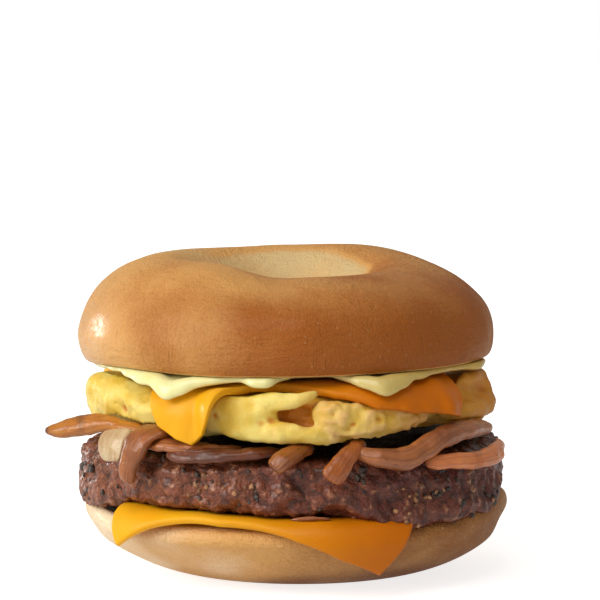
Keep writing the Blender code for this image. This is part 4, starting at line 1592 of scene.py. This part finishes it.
STRANDS = (
    Strand("onion_far_left", OnionTone.TAN,
           ((200.8, 66.8, 4.2, 2.2, 1.9), (203.4, 62.6, 4.7, 5.4, 3.9), (207.5, 58.4, 6.0, 6.0, 4.1),
            (213, 55.2, 6.8, 5.0, 3.6), (220, 53.2, 6.0, 4.4, 3.2), (227, 51, 4.8, 4.0, 3.0))),
    Strand("onion_petal", OnionTone.PEARL,
           ((219.4, 50, 5.4, 7.0, 1.8), (219.2, 54.6, 5.4, 8.0, 1.9), (219.2, 57.4, 3.4, 8.6, 2.0),
            (219.4, 58.4, 0.4, 8.4, 2.0), (219.6, 58.5, -2.2, 7.4, 1.9))),
    Strand("onion_left_drip", OnionTone.BROWN,
           ((232.5, 49, 5.6, 7.4, 2.6), (230.8, 53.6, 6.0, 9.8, 3.0), (229.2, 57.2, 4.2, 9.6, 3.0),
            (227.6, 59.2, -0.6, 6.8, 3.0), (226.5, 59.5, -4.2, 5.2, 2.8), (226, 59.4, -6.6, 4.8, 2.6))),
    Strand("onion_left_back", OnionTone.PINK,
           ((229, 54.0, 3.4, 5.6, 2.2), (235, 54.6, 3.2, 6.0, 2.4), (241, 54.2, 2.9, 5.6, 2.4),
            (248, 52.0, 2.4, 4.8, 2.2), (255, 47, 2.0, 3.6, 2.0))),
    Strand("onion_front_flat", OnionTone.DARK,
           ((236.5, 55.6, 1.0, 2.4, 1.8), (240, 56.2, 1.2, 4.2, 2.4), (246, 56.3, 1.2, 4.4, 2.6),
            (254, 55.4, 1.4, 4.0, 2.6), (261, 53.2, 1.8, 4.0, 2.4), (267, 49, 1.8, 3.6, 2.2))),
    Strand("onion_front_stub", OnionTone.BROWN,
           ((275, 38, 1.8, 4.6, 2.6), (274, 47, 1.9, 5.0, 2.8), (271.5, 53, 2.2, 5.2, 3.0),
            (268, 57.4, 0.8, 5.6, 3.0), (265.4, 59.6, -1.2, 4.0, 2.6))),
    Strand("onion_middle_drip", OnionTone.AMBER,
           ((291, 40, 2.1, 3.8, 2.8), (290, 48, 2.4, 4.0, 3.0), (287.5, 53.6, 2.8, 4.2, 3.2),
            (283.5, 57.7, 0.8, 4.8, 3.4), (280, 59.8, -2.6, 5.6, 3.4), (278.6, 60.0, -4.4, 4.6, 3.0))),
    Strand("onion_right_long", OnionTone.PINK,
           ((286.6, 55.4, 1.8, 3.2, 2.8), (290.5, 57.2, 0.9, 4.8, 3.6), (298, 58.4, 0.0, 5.6, 4.0),
            (304, 57.8, 1.7, 5.8, 4.2), (311, 56.6, 3.9, 5.6, 4.2), (319, 55.6, 4.8, 5.2, 4.0),
            (328, 54.8, 4.6, 5.2, 3.8), (337, 53.8, 4.0, 5.2, 3.6))),
    Strand("onion_right_low", OnionTone.RED,
           ((305, 57.6, -1.8, 2.6, 2.2), (311, 58.6, -1.7, 4.0, 2.8), (321, 59.0, -2.3, 4.4, 3.0),
            (330, 58.4, -2.0, 4.4, 3.0), (337, 57.0, -1.0, 3.6, 2.6), (341, 55.8, -0.2, 2.2, 1.8))),
    Strand("onion_back_right", OnionTone.BROWN,
           ((20, 38, 2.0, 4.6, 2.8), (22, 45, 2.1, 5.4, 3.2), (27, 50, 2.2, 5.2, 3.2),
            (33, 53.5, 1.8, 3.8, 2.6))),
    Strand("onion_back_bar", OnionTone.PINK,
           ((42, 51, 2.1, 3.8, 3.0), (50, 53.5, 2.3, 5.2, 3.4), (58, 56.5, 1.0, 5.2, 3.2),
            (64, 58.5, -1.4, 3.8, 2.6))),
    Strand("onion_back_middle", OnionTone.PEARL,
           ((80, 38, 2.0, 4.8, 2.8), (81, 46, 2.2, 5.8, 3.2), (82, 53, 2.1, 5.6, 3.2),
            (84, 57.4, 0.2, 4.2, 2.6))),
    Strand("onion_back_long", OnionTone.BROWN,
           ((97, 57.4, 0.2, 4.0, 2.8), (106, 55.6, 2.0, 5.8, 3.6), (118, 52.5, 2.4, 5.6, 3.6),
            (130, 48.0, 2.2, 4.6, 3.0))),
    Strand("onion_back_drip", OnionTone.TAN,
           ((143, 40, 2.0, 4.6, 2.8), (143, 49, 2.2, 5.6, 3.2), (144, 56.2, 1.6, 5.4, 3.2),
            (145, 59.2, -4.4, 4.2, 2.8))),
    Strand("onion_back_left", OnionTone.DARK,
           ((156, 46, 1.9, 4.0, 2.6), (160, 51, 2.2, 5.0, 3.0), (165, 54.6, 1.6, 4.8, 3.0),
            (170, 56.0, 1.0, 3.4, 2.4))),
)

# The thin strip that shows between the patty and the lower slice
SLIVER = Strand("onion_sliver", OnionTone.PINK,
                ((268.5, 53.4, -14.7, 0.5, 0.5), (272, 54.0, -14.4, 1.0, 0.8), (276, 54.1, -14.3, 1.3, 0.9),
                 (279.5, 53.8, -14.6, 0.6, 0.5)))


@dataclass
class OnionStrip(Layer):
    """One fried strip of onion, a flattened tube kept off the patty."""

    strand: Strand = STRANDS[0]
    rings: int = 90
    sides: int = 30

    def frames(self) -> list[Matrix]:
        """The strip's cross-sections, which narrow to its ends and twist a little.

        Returns:
            One frame for each, its X across the strip and its Y away from the patty.
        """
        places = self.strand.places(self.rings)
        middles = [middle for middle, _, _ in places]
        frames = []
        for index, (middle, half_width, half_thickness) in enumerate(places):
            along = heading(middles, index)
            away = square_to(patty_clearance(middle)[1], along)
            away.rotate(Quaternion(along, 0.35 * rough_at(middle, 9 * MM)))
            share = abs(2 * index / (self.rings - 1) - 1)
            end = max(0.0, 1 - share ** 16) ** 0.45
            wide = half_width * (1 + 0.2 * rough_at(middle, 5 * MM))
            thick = half_thickness * (1 + 0.2 * rough_at(middle * 1.7, 5 * MM))
            frames.append(cross_section(middle, away, along, wide * end, thick * end))
        return frames

    def mould(self) -> Shape:
        """The strip's upright shape, rippled and clear of the patty.

        Returns:
            The shape.
        """
        body = sweep(self.frames(), self.sides, 2.5)
        body.normal_update()
        for vertex in body.verts:
            ripple = rough_at(vertex.co, 3.2 * MM) * 0.3 * MM + rough_at(vertex.co, 1.4 * MM) * 0.08 * MM
            vertex.co += vertex.normal * ripple
            apart, away = patty_clearance(vertex.co)
            vertex.co += away * max(0.0, 0.1 * MM - apart)
        return body


@dataclass(frozen=True)
class Fold:
    """A roll of egg, leaning outwards at its top by its lean.

    Each place of its route is the azimuth, radius and height of its middle, its half height and its
    half depth, in millimetres.
    """

    route: tuple[tuple[float, float, float, float, float], ...]
    lean: float = 0.0

    rings: int = 40
    sides: int = 20

    def mould(self) -> Shape:
        """The roll's upright shape, which narrows to its ends.

        Returns:
            The shape.
        """
        rows = curve_through(self.route, self.rings)
        middles = [around(a, r * MM, h * MM) for a, r, h, _, _ in rows]
        frames = []
        for index, (middle, row) in enumerate(zip(middles, rows)):
            along = heading(middles, index)
            out = Vector((middle.x, middle.y, 0.0)).normalized() + Vector((0.0, 0.0, self.lean))
            end = max(0.0, 1 - abs(2 * index / (self.rings - 1) - 1) ** 8) ** 0.5
            tall, deep = row[3] * MM * end, row[4] * MM * end
            frames.append(cross_section(middle, square_to(out, along), along, tall, deep))
        return sweep(frames, self.sides)


@dataclass
class Egg(Layer):
    """The folded egg: a body with lobes and an open mouth, and rolls of egg on it.

    Its creases and its mouth are azimuth, half width and depth in millimetres. The first fold is the
    torn one.
    """

    steps: int = 300
    voxel: float = 0.62 * MM
    creases: tuple[Hump, ...] = ((327, 7, 1.2), (314, 15, 2.6), (66, 8, 1.4), (214, 5, 0.5))
    mouth: Hump = (270.8, 8.8, 8.5)
    mouth_height: float = 45.4 * MM
    folds: tuple[Fold, ...] = (
        Fold(((275.5, 51.2, 46.0, 1.8, 1.4), (278, 52.2, 45.9, 3.0, 2.0), (281.5, 53.0, 45.6, 3.7, 2.4),
              (287, 53.2, 44.3, 4.3, 2.7), (292.5, 53.2, 43.9, 4.0, 2.7), (299, 52.9, 44.1, 3.4, 2.5),
              (306, 52.3, 44.5, 2.6, 2.1), (312.5, 51.5, 44.6, 1.5, 1.6), (318, 49.8, 44.6, 0.8, 1.0)), 0.15),
        Fold(((238, 48.4, 45.0, 3.4, 2.0), (243, 49.2, 45.2, 4.4, 2.6), (248, 49.8, 45.4, 4.9, 2.9),
              (254, 50.4, 45.4, 5.1, 3.0), (260, 50.8, 45.2, 5.2, 3.2), (264, 50.8, 45.2, 4.4, 2.8),
              (266.9, 49.4, 45.4, 2.7, 1.6))),
        Fold(((258, 50.4, 49.0, 1.6, 1.6), (264, 51.9, 49.3, 2.3, 1.8), (269, 52.7, 49.5, 2.4, 1.7),
              (273, 52.9, 49.9, 1.9, 1.4), (276, 52.4, 50.7, 1.2, 1.0), (278.4, 51.4, 51.2, 0.6, 0.6)), 0.35),
        Fold(((250, 50.8, 42.0, 1.6, 1.6), (256, 51.8, 41.7, 2.4, 2.2), (264, 52.6, 41.6, 2.8, 2.4),
              (269, 52.9, 41.5, 2.6, 2.3), (273.5, 53.1, 41.0, 2.4, 2.2), (278, 52.8, 40.6, 2.2, 2.0),
              (284, 51.4, 39.5, 1.1, 1.4), (290, 50.0, 39.8, 0.8, 1.0))),
        Fold(((265, 46.6, 45.2, 1.0, 1.4), (271, 47.8, 44.7, 1.5, 1.5), (278, 49.3, 44.2, 1.5, 1.4),
              (283, 50.4, 43.6, 1.2, 1.2))),
        Fold(((316, 51.0, 43.4, 1.4, 1.4), (325, 51.8, 43.2, 2.1, 2.0), (334, 52.2, 43.2, 2.5, 2.4),
              (342, 52.4, 44.0, 2.9, 2.5), (350, 51.6, 44.4, 2.4, 2.2), (357, 50.2, 44.4, 1.2, 1.3))),
        Fold(((328, 49.6, 50.2, 1.1, 1.2), (335, 50.4, 50.8, 1.7, 1.6), (344, 50.6, 50.8, 1.8, 1.7),
              (352, 49.6, 50.2, 1.3, 1.3))),
        Fold(((338, 50.4, 50.6, 1.2, 1.2), (343.5, 51.6, 49.2, 1.6, 1.5), (346, 52.2, 46.8, 1.6, 1.5),
              (345, 52.4, 44.2, 1.2, 1.2))),
        Fold(((12, 50.4, 43.0, 1.5, 1.6), (26, 51.6, 42.6, 2.3, 2.2), (42, 52.0, 42.4, 2.6, 2.4),
              (56, 51.0, 42.8, 1.8, 1.8), (64, 49.4, 43.4, 1.0, 1.0))),
        Fold(((72, 50.4, 46.6, 1.4, 1.4), (86, 51.6, 46.4, 2.4, 2.2), (100, 51.6, 45.6, 2.6, 2.3),
              (116, 50.8, 45.4, 1.8, 1.8), (126, 49.2, 45.6, 1.0, 1.0)), 0.2),
        Fold(((128, 50.6, 42.4, 1.4, 1.5), (142, 51.8, 42.0, 2.2, 2.2), (158, 51.6, 42.4, 2.3, 2.2),
              (172, 50.8, 43.0, 1.5, 1.5))),
    )

    def outline(self) -> list[tuple]:
        """Its section before its folds: flat on top, round at the side, resting on the patty.

        Returns:
            Radius and height of each point.
        """
        middle, plain, top = (0.0, EGG_TOP), (36 * MM, EGG_TOP), (EGG_FLAT, EGG_TOP)
        side, hem = (EGG_RADIUS, EGG_TOP - EGG_SHOULDER), (46 * MM, EGG_BOTTOM)
        bend, rest = (28 * MM, EGG_BOTTOM), (19 * MM, PATTY_TOP + GAP)
        points = [middle] + straight(middle, plain, 3) + straight(plain, top, 6)
        points += arc(top, side, True, 2.0, 22) + arc(side, hem, False, 2.0, 18)
        return points + straight(hem, bend, 8) + straight(bend, rest, 4) + straight(rest, (0.0, rest[1]), 3)

    def swell(self, azimuth: float, height: float) -> float:
        """How far the body stands out under its rolls.

        Args:
            azimuth: degrees round the axis.
            height: height over the table.

        Returns:
            The distance outwards.
        """
        low = below_edge(height)
        lobes = bump(azimuth, 198, 30) * 2.6 + bump(azimuth, 338, 18) * 0.6 * low
        lobes += bump(azimuth, 222, 22) * 1.0 * low
        creases = humps(azimuth, self.creases)
        mouth = humps(azimuth, (self.mouth,)) * fade(abs(height - self.mouth_height), 0.6 * MM, 2.8 * MM)
        ragged = rough_at(around(azimuth, EGG_RADIUS, height), 7 * MM) * 0.7
        return (lobes - creases * low - mouth + ragged * low) * MM

    def place(self, azimuth: float, radius: float, height: float) -> Vector:
        """Where a point of the turned egg goes.

        Args:
            azimuth: degrees round the axis.
            radius: distance from the axis.
            height: height over the table.

        Returns:
            The point, its side swollen, drooping low down and raised at its upper edge where the upper slice
            leaves it bare.
        """
        side = ease(radius, 38 * MM, 48 * MM)
        middle = EGG_BOTTOM + 0.45 * (EGG_TOP - EGG_BOTTOM)
        lower = fade(height, EGG_BOTTOM, middle)
        out = radius + self.swell(azimuth, height) * side + bump(azimuth, 340, 17) * 1.6 * MM * side * lower
        away = 1 - within(azimuth, 200, 228, 326, 342)
        droop = bump(azimuth, 273, 25) * 2.4 + away * 2.2
        droop *= side * lower
        bare = fade(slice_edge(UPPER_EDGE, azimuth), 42 * MM, 46 * MM)
        raised = 1.6 + 1.2 * bump(azimuth, 198, 24) + 0.9 * bump(azimuth, 206, 20)
        raised *= ease(radius, 44 * MM, 47 * MM) * bare * (1 - lower)
        return around(azimuth, out, height + (raised - droop) * MM)

    @staticmethod
    def onion_tops() -> dict[int, list[tuple[Vector, float, float]]]:
        """Places along the onion strips, sorted by the sectors of the stack that they touch.

        Returns:
            Middle, half width and top of each place, by the number of its sector.
        """
        sectors: dict[int, list[tuple[Vector, float, float]]] = {number: [] for number in range(SECTORS)}
        for strand in STRANDS:
            for middle, half_width, half_thickness in strand.places(24):
                own = int(polar(middle)[0] / SECTOR_ANGLE)
                for number in (own - 1, own, own + 1):
                    sectors[number % SECTORS].append((middle, half_width, middle.z + half_thickness))
        return sectors

    @staticmethod
    def cleared(point: Vector, samples: Sequence[tuple]) -> Vector:
        """A point raised clear of the onion strips under it.

        Args:
            point: a point of the egg.
            samples: middle, half width and top of places along the strips.

        Returns:
            The point, raised where it has to be.
        """
        least = 0.0
        for centre, half_width, top in samples:
            apart = math.hypot(point.x - centre.x, point.y - centre.y) - half_width - 0.6 * MM
            if apart < 5 * MM:
                least = max(least, top + 0.2 * MM - 1.0 * max(0.0, apart))
        return Vector((point.x, point.y, max(point.z, least)))

    @staticmethod
    def pits() -> list[tuple[Vector, float]]:
        """Small pits at random places in the egg's side.

        Returns:
            Middle and radius of each.
        """
        dice = random.Random(SEED)
        areas = ((190, 236, 16), (246, 268, 5), (0, 180, 30))
        return [(around(dice.uniform(low, high), EGG_RADIUS + 1.4 * MM, dice.uniform(41.5, 50) * MM),
                 dice.uniform(0.9, 1.7) * MM) for low, high, count in areas for _ in range(count)]

    def joined(self) -> Shape:
        """The body and its rolls grown together.

        Returns:
            One closed shape.
        """
        body = spin_section(self.outline(), self.steps, False)
        move_each(body, self.place)
        for fold in self.folds:
            roll = mesh_of(fold.mould(), "egg_fold")
            body.from_mesh(roll)
            bpy.data.meshes.remove(roll)
        rough = linked("egg_parts", mesh_of(body, "egg_parts"))
        remesh = rough.modifiers.new("join", "REMESH")
        remesh.mode = "VOXEL"
        remesh.voxel_size = self.voxel
        bpy.context.view_layer.update()
        solid = bpy.data.meshes.new_from_object(rough.evaluated_get(bpy.context.evaluated_depsgraph_get()))
        body = bmesh.new()
        body.from_mesh(solid)
        bpy.data.objects.remove(rough)
        return body

    @staticmethod
    def torn_share(azimuth: float, radius: float, height: float) -> float:
        """How far a place belongs to the torn fold at the front.

        Args:
            azimuth: degrees round the axis.
            radius: distance from the axis.
            height: height over the table.

        Returns:
            0 for not at all to 1 for its middle.
        """
        share = within(azimuth, 276, 281, 308, 318) * ease(radius, 50 * MM, 52 * MM)
        return share * fade(height, 48.5 * MM, 50 * MM)

    @staticmethod
    def curds(point: Vector, torn: float, pits: Sequence[tuple[Vector, float]]) -> float:
        """How far the curds of the egg's skin stand out.

        Args:
            point: a point of the egg.
            torn: how far it belongs to the torn fold.
            pits: middle and radius of each pit.

        Returns:
            The distance in millimetres, below 0 between curds.
        """
        azimuth, radius = polar(point)
        ridge = 1 - 2 * abs(noise.noise(Vector((azimuth / 7, point.z / (1.9 * MM), radius / (3 * MM)))))
        curds = 0.55 * rough_at(point, 5 * MM) + 0.3 * rough_at(point, 2.2 * MM)
        ragged = 0.5 * ridge - 0.2 + 0.5 * rough_at(point, 3.4 * MM) + 0.5 * rough_at(point, 1.5 * MM)
        curds += torn * ragged
        for middle, size in pits:
            apart = (point - middle).length
            if apart < size * 1.6:
                curds -= 0.4 * fade(apart, size * 0.3, size * 1.6)
        return curds

    @staticmethod
    def cave(point: Vector) -> float:
        """How far a place lies in the open mouth beside the torn fold, which the light hardly reaches.

        Args:
            point: a point of the egg.

        Returns:
            0 outside the mouth to 1 deep in it.
        """
        azimuth, radius = polar(point)
        share = within(azimuth, 264, 267, 281, 286)
        share *= fade(abs(point.z - 45 * MM), 2.5 * MM, 4.5 * MM)
        return share * fade(radius, 50.5 * MM, 52.3 * MM)

    def mould(self) -> Shape:
        """The egg's upright shape, with curds and pits.

        Returns:
            The shape, with the attributes flaky and hollow.
        """
        body = self.joined()
        relax(body, 4)
        body.normal_update()
        sectors, pits = self.onion_tops(), self.pits()
        layer = body.verts.layers.float.new("flaky")
        for vertex in body.verts:
            azimuth, radius = polar(vertex.co)
            if radius < 40 * MM:
                continue
            torn = self.torn_share(azimuth, radius, vertex.co.z)
            curds = self.curds(vertex.co, torn, pits)
            # the raised curds of the torn fold, painted paler: partly their own tone, partly a painted
            # highlight on the ridges
            vertex[layer] = torn * ease(curds, -0.2, 0.5)
            point = vertex.co + vertex.normal * curds * MM
            if point.z < EGG_BOTTOM + 5 * MM:
                point = self.cleared(point, sectors[int(azimuth / SECTOR_ANGLE)])
            vertex.co = point
        mark_hollows(body, 16, 0.4 * MM)
        hollow = body.verts.layers.float["hollow"]
        # painted shade: the open mouth is added to the hollows, which the egg's material paints deep yellow
        for vertex in body.verts:
            vertex[hollow] = max(vertex[hollow], 0.5 + 0.5 * self.cave(vertex.co))
        return body


@dataclass
class Slice(Layer):
    """A cheese slice draped over what is under it, its corners hanging outside."""

    mantle: Mantle = field(default_factory=heel_mantle)
    edge: tuple[tuple[float, float], ...] = LOWER_EDGE
    over_egg: bool = False
    swells: tuple[Hump, ...] = ()
    between: int = 14
    rings: int = 46
    rounding: float = 0.8 * MM
    curl_height: float = 4.6 * MM

    def place(self, step_azimuth: float, ring: float, side: float) -> Vector:
        """Where a point of the flat disc goes.

        Args:
            step_azimuth: degrees round the disc.
            ring: which ring it is on, counted from the middle.
            side: 1 on the slice's top, 0 under it.

        Returns:
            The point on the draped slice.
        """
        azimuth = at_places(self.edge, step_azimuth)
        edge = slice_edge(self.edge, azimuth)
        left = clamp(1 - ring / self.rings)
        reach = edge * (1 - left ** 1.6)
        inward = clamp((edge - reach) / self.rounding)
        full = clamp(1 - (1 - inward) ** 3) ** (1 / 3)
        hanging = ease(reach, 50 * MM, 60 * MM)
        wave = rough_at(around(azimuth, reach, 0.0), 19 * MM) * 0.35 * MM * ease(reach, 30 * MM, 48 * MM)
        swell = humps(azimuth, self.swells) * MM
        lift = DRAPE_GAP + SLICE * (0.5 + (side - 0.5) * full) + abs(wave) + 0.5 * MM * hanging
        lift += swell * ease(reach, 44 * MM, 50 * MM)
        if self.over_egg:
            curl = within(azimuth, 244.5, 251.5, 253, 260)
            lift += self.curl_height * curl * ease(reach, 47 * MM, 53 * MM)
        point = self.mantle.over(azimuth, reach, lift)
        if self.over_egg:
            bulge = egg_bulge(azimuth, self.mantle.place(reach).y) * ease(reach, 38 * MM, 47 * MM)
            point += around(azimuth, bulge, 0.0)
        return point

    def mould(self) -> Shape:
        """The slice's upright shape."""
        return draped_sheet(0, self.rings, len(self.edge) * self.between, self.place)


@dataclass
class Sauce(Layer):
    """Sauce on the upper slice that runs out under the crown in round blobs."""

    mantle: Mantle = field(default_factory=egg_mantle)
    steps: int = 420
    rings: int = 44

    def place(self, azimuth: float, ring: float, side: float) -> Vector:
        """Where a point of the flat ring goes.

        Args:
            azimuth: degrees round the axis.
            ring: which ring it is on, counted from 1 at the hole.
            side: 1 on the sauce's top, 0 under it.

        Returns:
            The point on the run-out sauce.
        """
        edge, bead = (value * MM for value in eased_along(SAUCE_EDGE, azimuth))
        edge += rough_at(around(azimuth, edge, 0.0), 8 * MM) * 0.5 * MM
        left = clamp(1 - (ring - 1) / self.rings)
        reach = edge - (edge - SAUCE_INNER) * left ** 1.8
        ragged = rough_at(around(azimuth, reach, 0.0), 6 * MM) * 0.35 * MM
        thick = SPREAD_THICK + (bead + ragged) * ease(reach, edge - 4.5 * MM, edge - 1.5 * MM)
        inward = clamp((edge - reach) / (thick * 0.8))
        full = math.sqrt(max(0.0, 1 - (1 - inward) ** 2))
        out = ease(reach, 38 * MM, 47 * MM)
        lift = SPREAD_LIFT + (1.8 * SLACK + 0.5 * MM * bump(azimuth, 218, 30)) * out
        lift += thick * (0.5 + (side - 0.5) * full)
        point = self.mantle.over(azimuth, reach, lift)
        point += around(azimuth, egg_bulge(azimuth, self.mantle.place(reach).y, 9) * out, 0.0)
        radius = math.hypot(point.x, point.y)
        if radius < CROWN_RADIUS + GAP:
            point.z = min(point.z, CROWN_BOTTOM + rim_lift(azimuth, radius) - 0.1 * MM)
        return point

    def mould(self) -> Shape:
        """The sauce's upright shape.

        Returns:
            The shape.
        """
        body = draped_sheet(1, self.rings, self.steps, self.place)
        relax(body, 3)
        return body


@dataclass
class Sandwich:
    """All the layers, from the table up."""

    def layers(self) -> list[Layer]:
        """The pieces in the order that they are built.

        Returns:
            The pieces.
        """
        top_crust = CrustFinish("crust_top", tint(206, 180, 130), tint(210, 156, 88), tint(154, 84, 20), 0.6)
        base_crust = CrustFinish("crust_base", tint(242, 220, 186), tint(210, 158, 92), tint(136, 80, 32),
                                 0.05)
        cheese = CheeseFinish()
        pepper = GrainFinish("pepper", tint(34, 26, 24), tint(78, 62, 50))
        seeds = GrainFinish("seeds", tint(112, 70, 42), tint(182, 132, 88))
        pieces = [
            Heel("bagel_heel_crust", ("bagel_heel",), "crust_base", base_crust),
            Slice("lower_cheese", ("cheese_lower",), "cheese", cheese,
                  swells=((219, 17, 1.3), (240, 26, 1.0))),
            Patty("beef_patty", ("patty",), "beef", BeefFinish()),
            Grains("cracked_pepper", (), "beef", pepper, count=110, seed=11,
                   clusters=((197, 28, 8), (202, 24, 5), (244, 30, 4), (258, 25, 5), (288, 31, 9),
                             (311, 28, 14), (318, 25, 8), (336, 26, 8))),
            Grains("spice_seeds", (), "beef", seeds, count=60, seed=12, thickest_at=318, evenness=0.3,
                   flatness=0.75, clusters=((246.5, 27.5, 5), (254, 27, 4), (299, 26, 8), (301.5, 21, 3),
                                            (308, 27, 6), (322, 27, 5))),
        ]
        for strand in (*STRANDS, SLIVER):
            nodes = () if strand is SLIVER else (strand.name,)
            name, finish = strand.name + "_strip", strand.tone.value
            pieces.append(OnionStrip(name, nodes, "onion", finish, strand=strand))
        pieces += [
            Egg("folded_egg", ("egg",), "egg", EggFinish()),
            Slice("upper_cheese", ("cheese_upper",), "cheese", cheese, mantle=egg_mantle(), edge=UPPER_EDGE,
                  over_egg=True, swells=((296, 22, 1.5), (315, 7, 1.1), (240, 8, 0.8))),
            Sauce("cream_sauce", ("spread",), "sauce", SauceFinish()),
            Crown("bagel_crown_crust", ("bagel_crown",), "crust_top", top_crust),
        ]
        return pieces

    def build(self) -> None:
        """Builds each layer and reports it."""
        for layer in self.layers():
            made = layer.build()
            LOG.info("%s: %d faces", made.name, len(made.data.polygons))


@dataclass
class Studio:
    """The pale table, the soft light from the left and the camera."""

    floor_size: float = 6.0
    ambient: Colour = (0.35, 0.33, 0.3)
    distance: float = 0.9
    elevation: float = 7.0
    focus_height: float = 0.040
    image: int = 600
    focal_pixels: float = 3456.0
    drop_pixels: float = 113.0

    def focus(self) -> Vector:
        """The point that the lights and the camera face."""
        return Vector((STACK.x, STACK.y, self.focus_height))

    def floor(self) -> None:
        """A wide pale table, which brightens to white away from the sandwich."""
        body = bmesh.new()
        bmesh.ops.create_circle(body, cap_ends=True, segments=96, radius=self.floor_size)
        table = linked("table", mesh_of(body, "table"))
        bench = Bench("table", (0.6, 0.6, 0.6))
        length = bench.node("VectorMath", {0: bench.here()}, operation="LENGTH")["Value"]
        far = bench.between(length, 0.1, 0.6)
        bench.over(far, (0.5, 0.5, 0.5))
        bench.feed("Emission Color", bench.blend(far, (0.78, 0.78, 0.78), WHITE))
        seen = bench.times(bench.node("LightPath")["Is Camera Ray"], 0.6)
        bench.feed("Emission Strength", bench.plus(seen, 0.4))
        bench.settings(Roughness=0.9, Specular_IOR_Level=0.1)
        table.data.materials.append(bench.material)

    def sky(self) -> None:
        """Even light from all round, seen as white by the camera."""
        world = bpy.data.worlds.new("studio")
        world.use_nodes = True
        sky = Wiring(world.node_tree)
        light = sky.blend(sky.node("LightPath")["Is Camera Ray"], self.ambient, WHITE)
        sky.tree.links.new(light, sky.tree.nodes["Background"].inputs["Color"])
        bpy.context.scene.world = world

    def lamp(self, name: str, place: tuple, size: float, power: float, colour: Colour) -> None:
        """A square soft light that faces the sandwich.

        Args:
            name: what the light is called.
            place: where it stands.
            size: its side in metres.
            power: its power in watts.
            colour: its colour.
        """
        data = bpy.data.lights.new(name, "AREA")
        data.size, data.energy, data.color = size, power, colour
        lamp = linked(name, data)
        lamp.location = place
        lamp.rotation_mode = "QUATERNION"
        lamp.rotation_quaternion = (self.focus() - Vector(place)).to_track_quat("-Z", "Y")

    def camera(self) -> None:
        """A long lens from the front, a little above the sandwich."""
        data = bpy.data.cameras.new("camera")
        data.sensor_width = 36.0
        data.lens = self.focal_pixels / self.image * data.sensor_width
        camera = linked("camera", data)
        angle = math.radians(self.elevation)
        away = Vector((0.0, -math.cos(angle), math.sin(angle)))
        camera.location = self.focus() + away * self.distance
        raised = Quaternion((1.0, 0.0, 0.0), math.atan(self.drop_pixels / self.focal_pixels))
        camera.rotation_mode = "QUATERNION"
        camera.rotation_quaternion = (-away).to_track_quat("-Z", "Y") @ raised
        bpy.context.scene.camera = camera

    def build(self) -> None:
        """Sets up the whole studio."""
        self.floor()
        self.sky()
        self.lamp("window_left", (-1.0, -0.5, 0.6), 0.8, 11.6, (1.0, 0.98, 0.95))
        self.lamp("window_back", (-0.98, 0.82, 0.2), 0.22, 2.6, (1.0, 0.97, 0.93))
        self.lamp("window_top", (-0.2, -0.6, 1.1), 0.7, 5.4, (1.0, 0.97, 0.93))
        self.camera()
        bpy.context.scene.view_settings.view_transform = "Standard"


def main() -> None:
    """Builds the studio and the sandwich."""
    logging.basicConfig(level=logging.INFO, format="%(message)s")
    noise.seed_set(SEED)
    Studio().build()
    Sandwich().build()


if __name__ == "__main__":
    main()
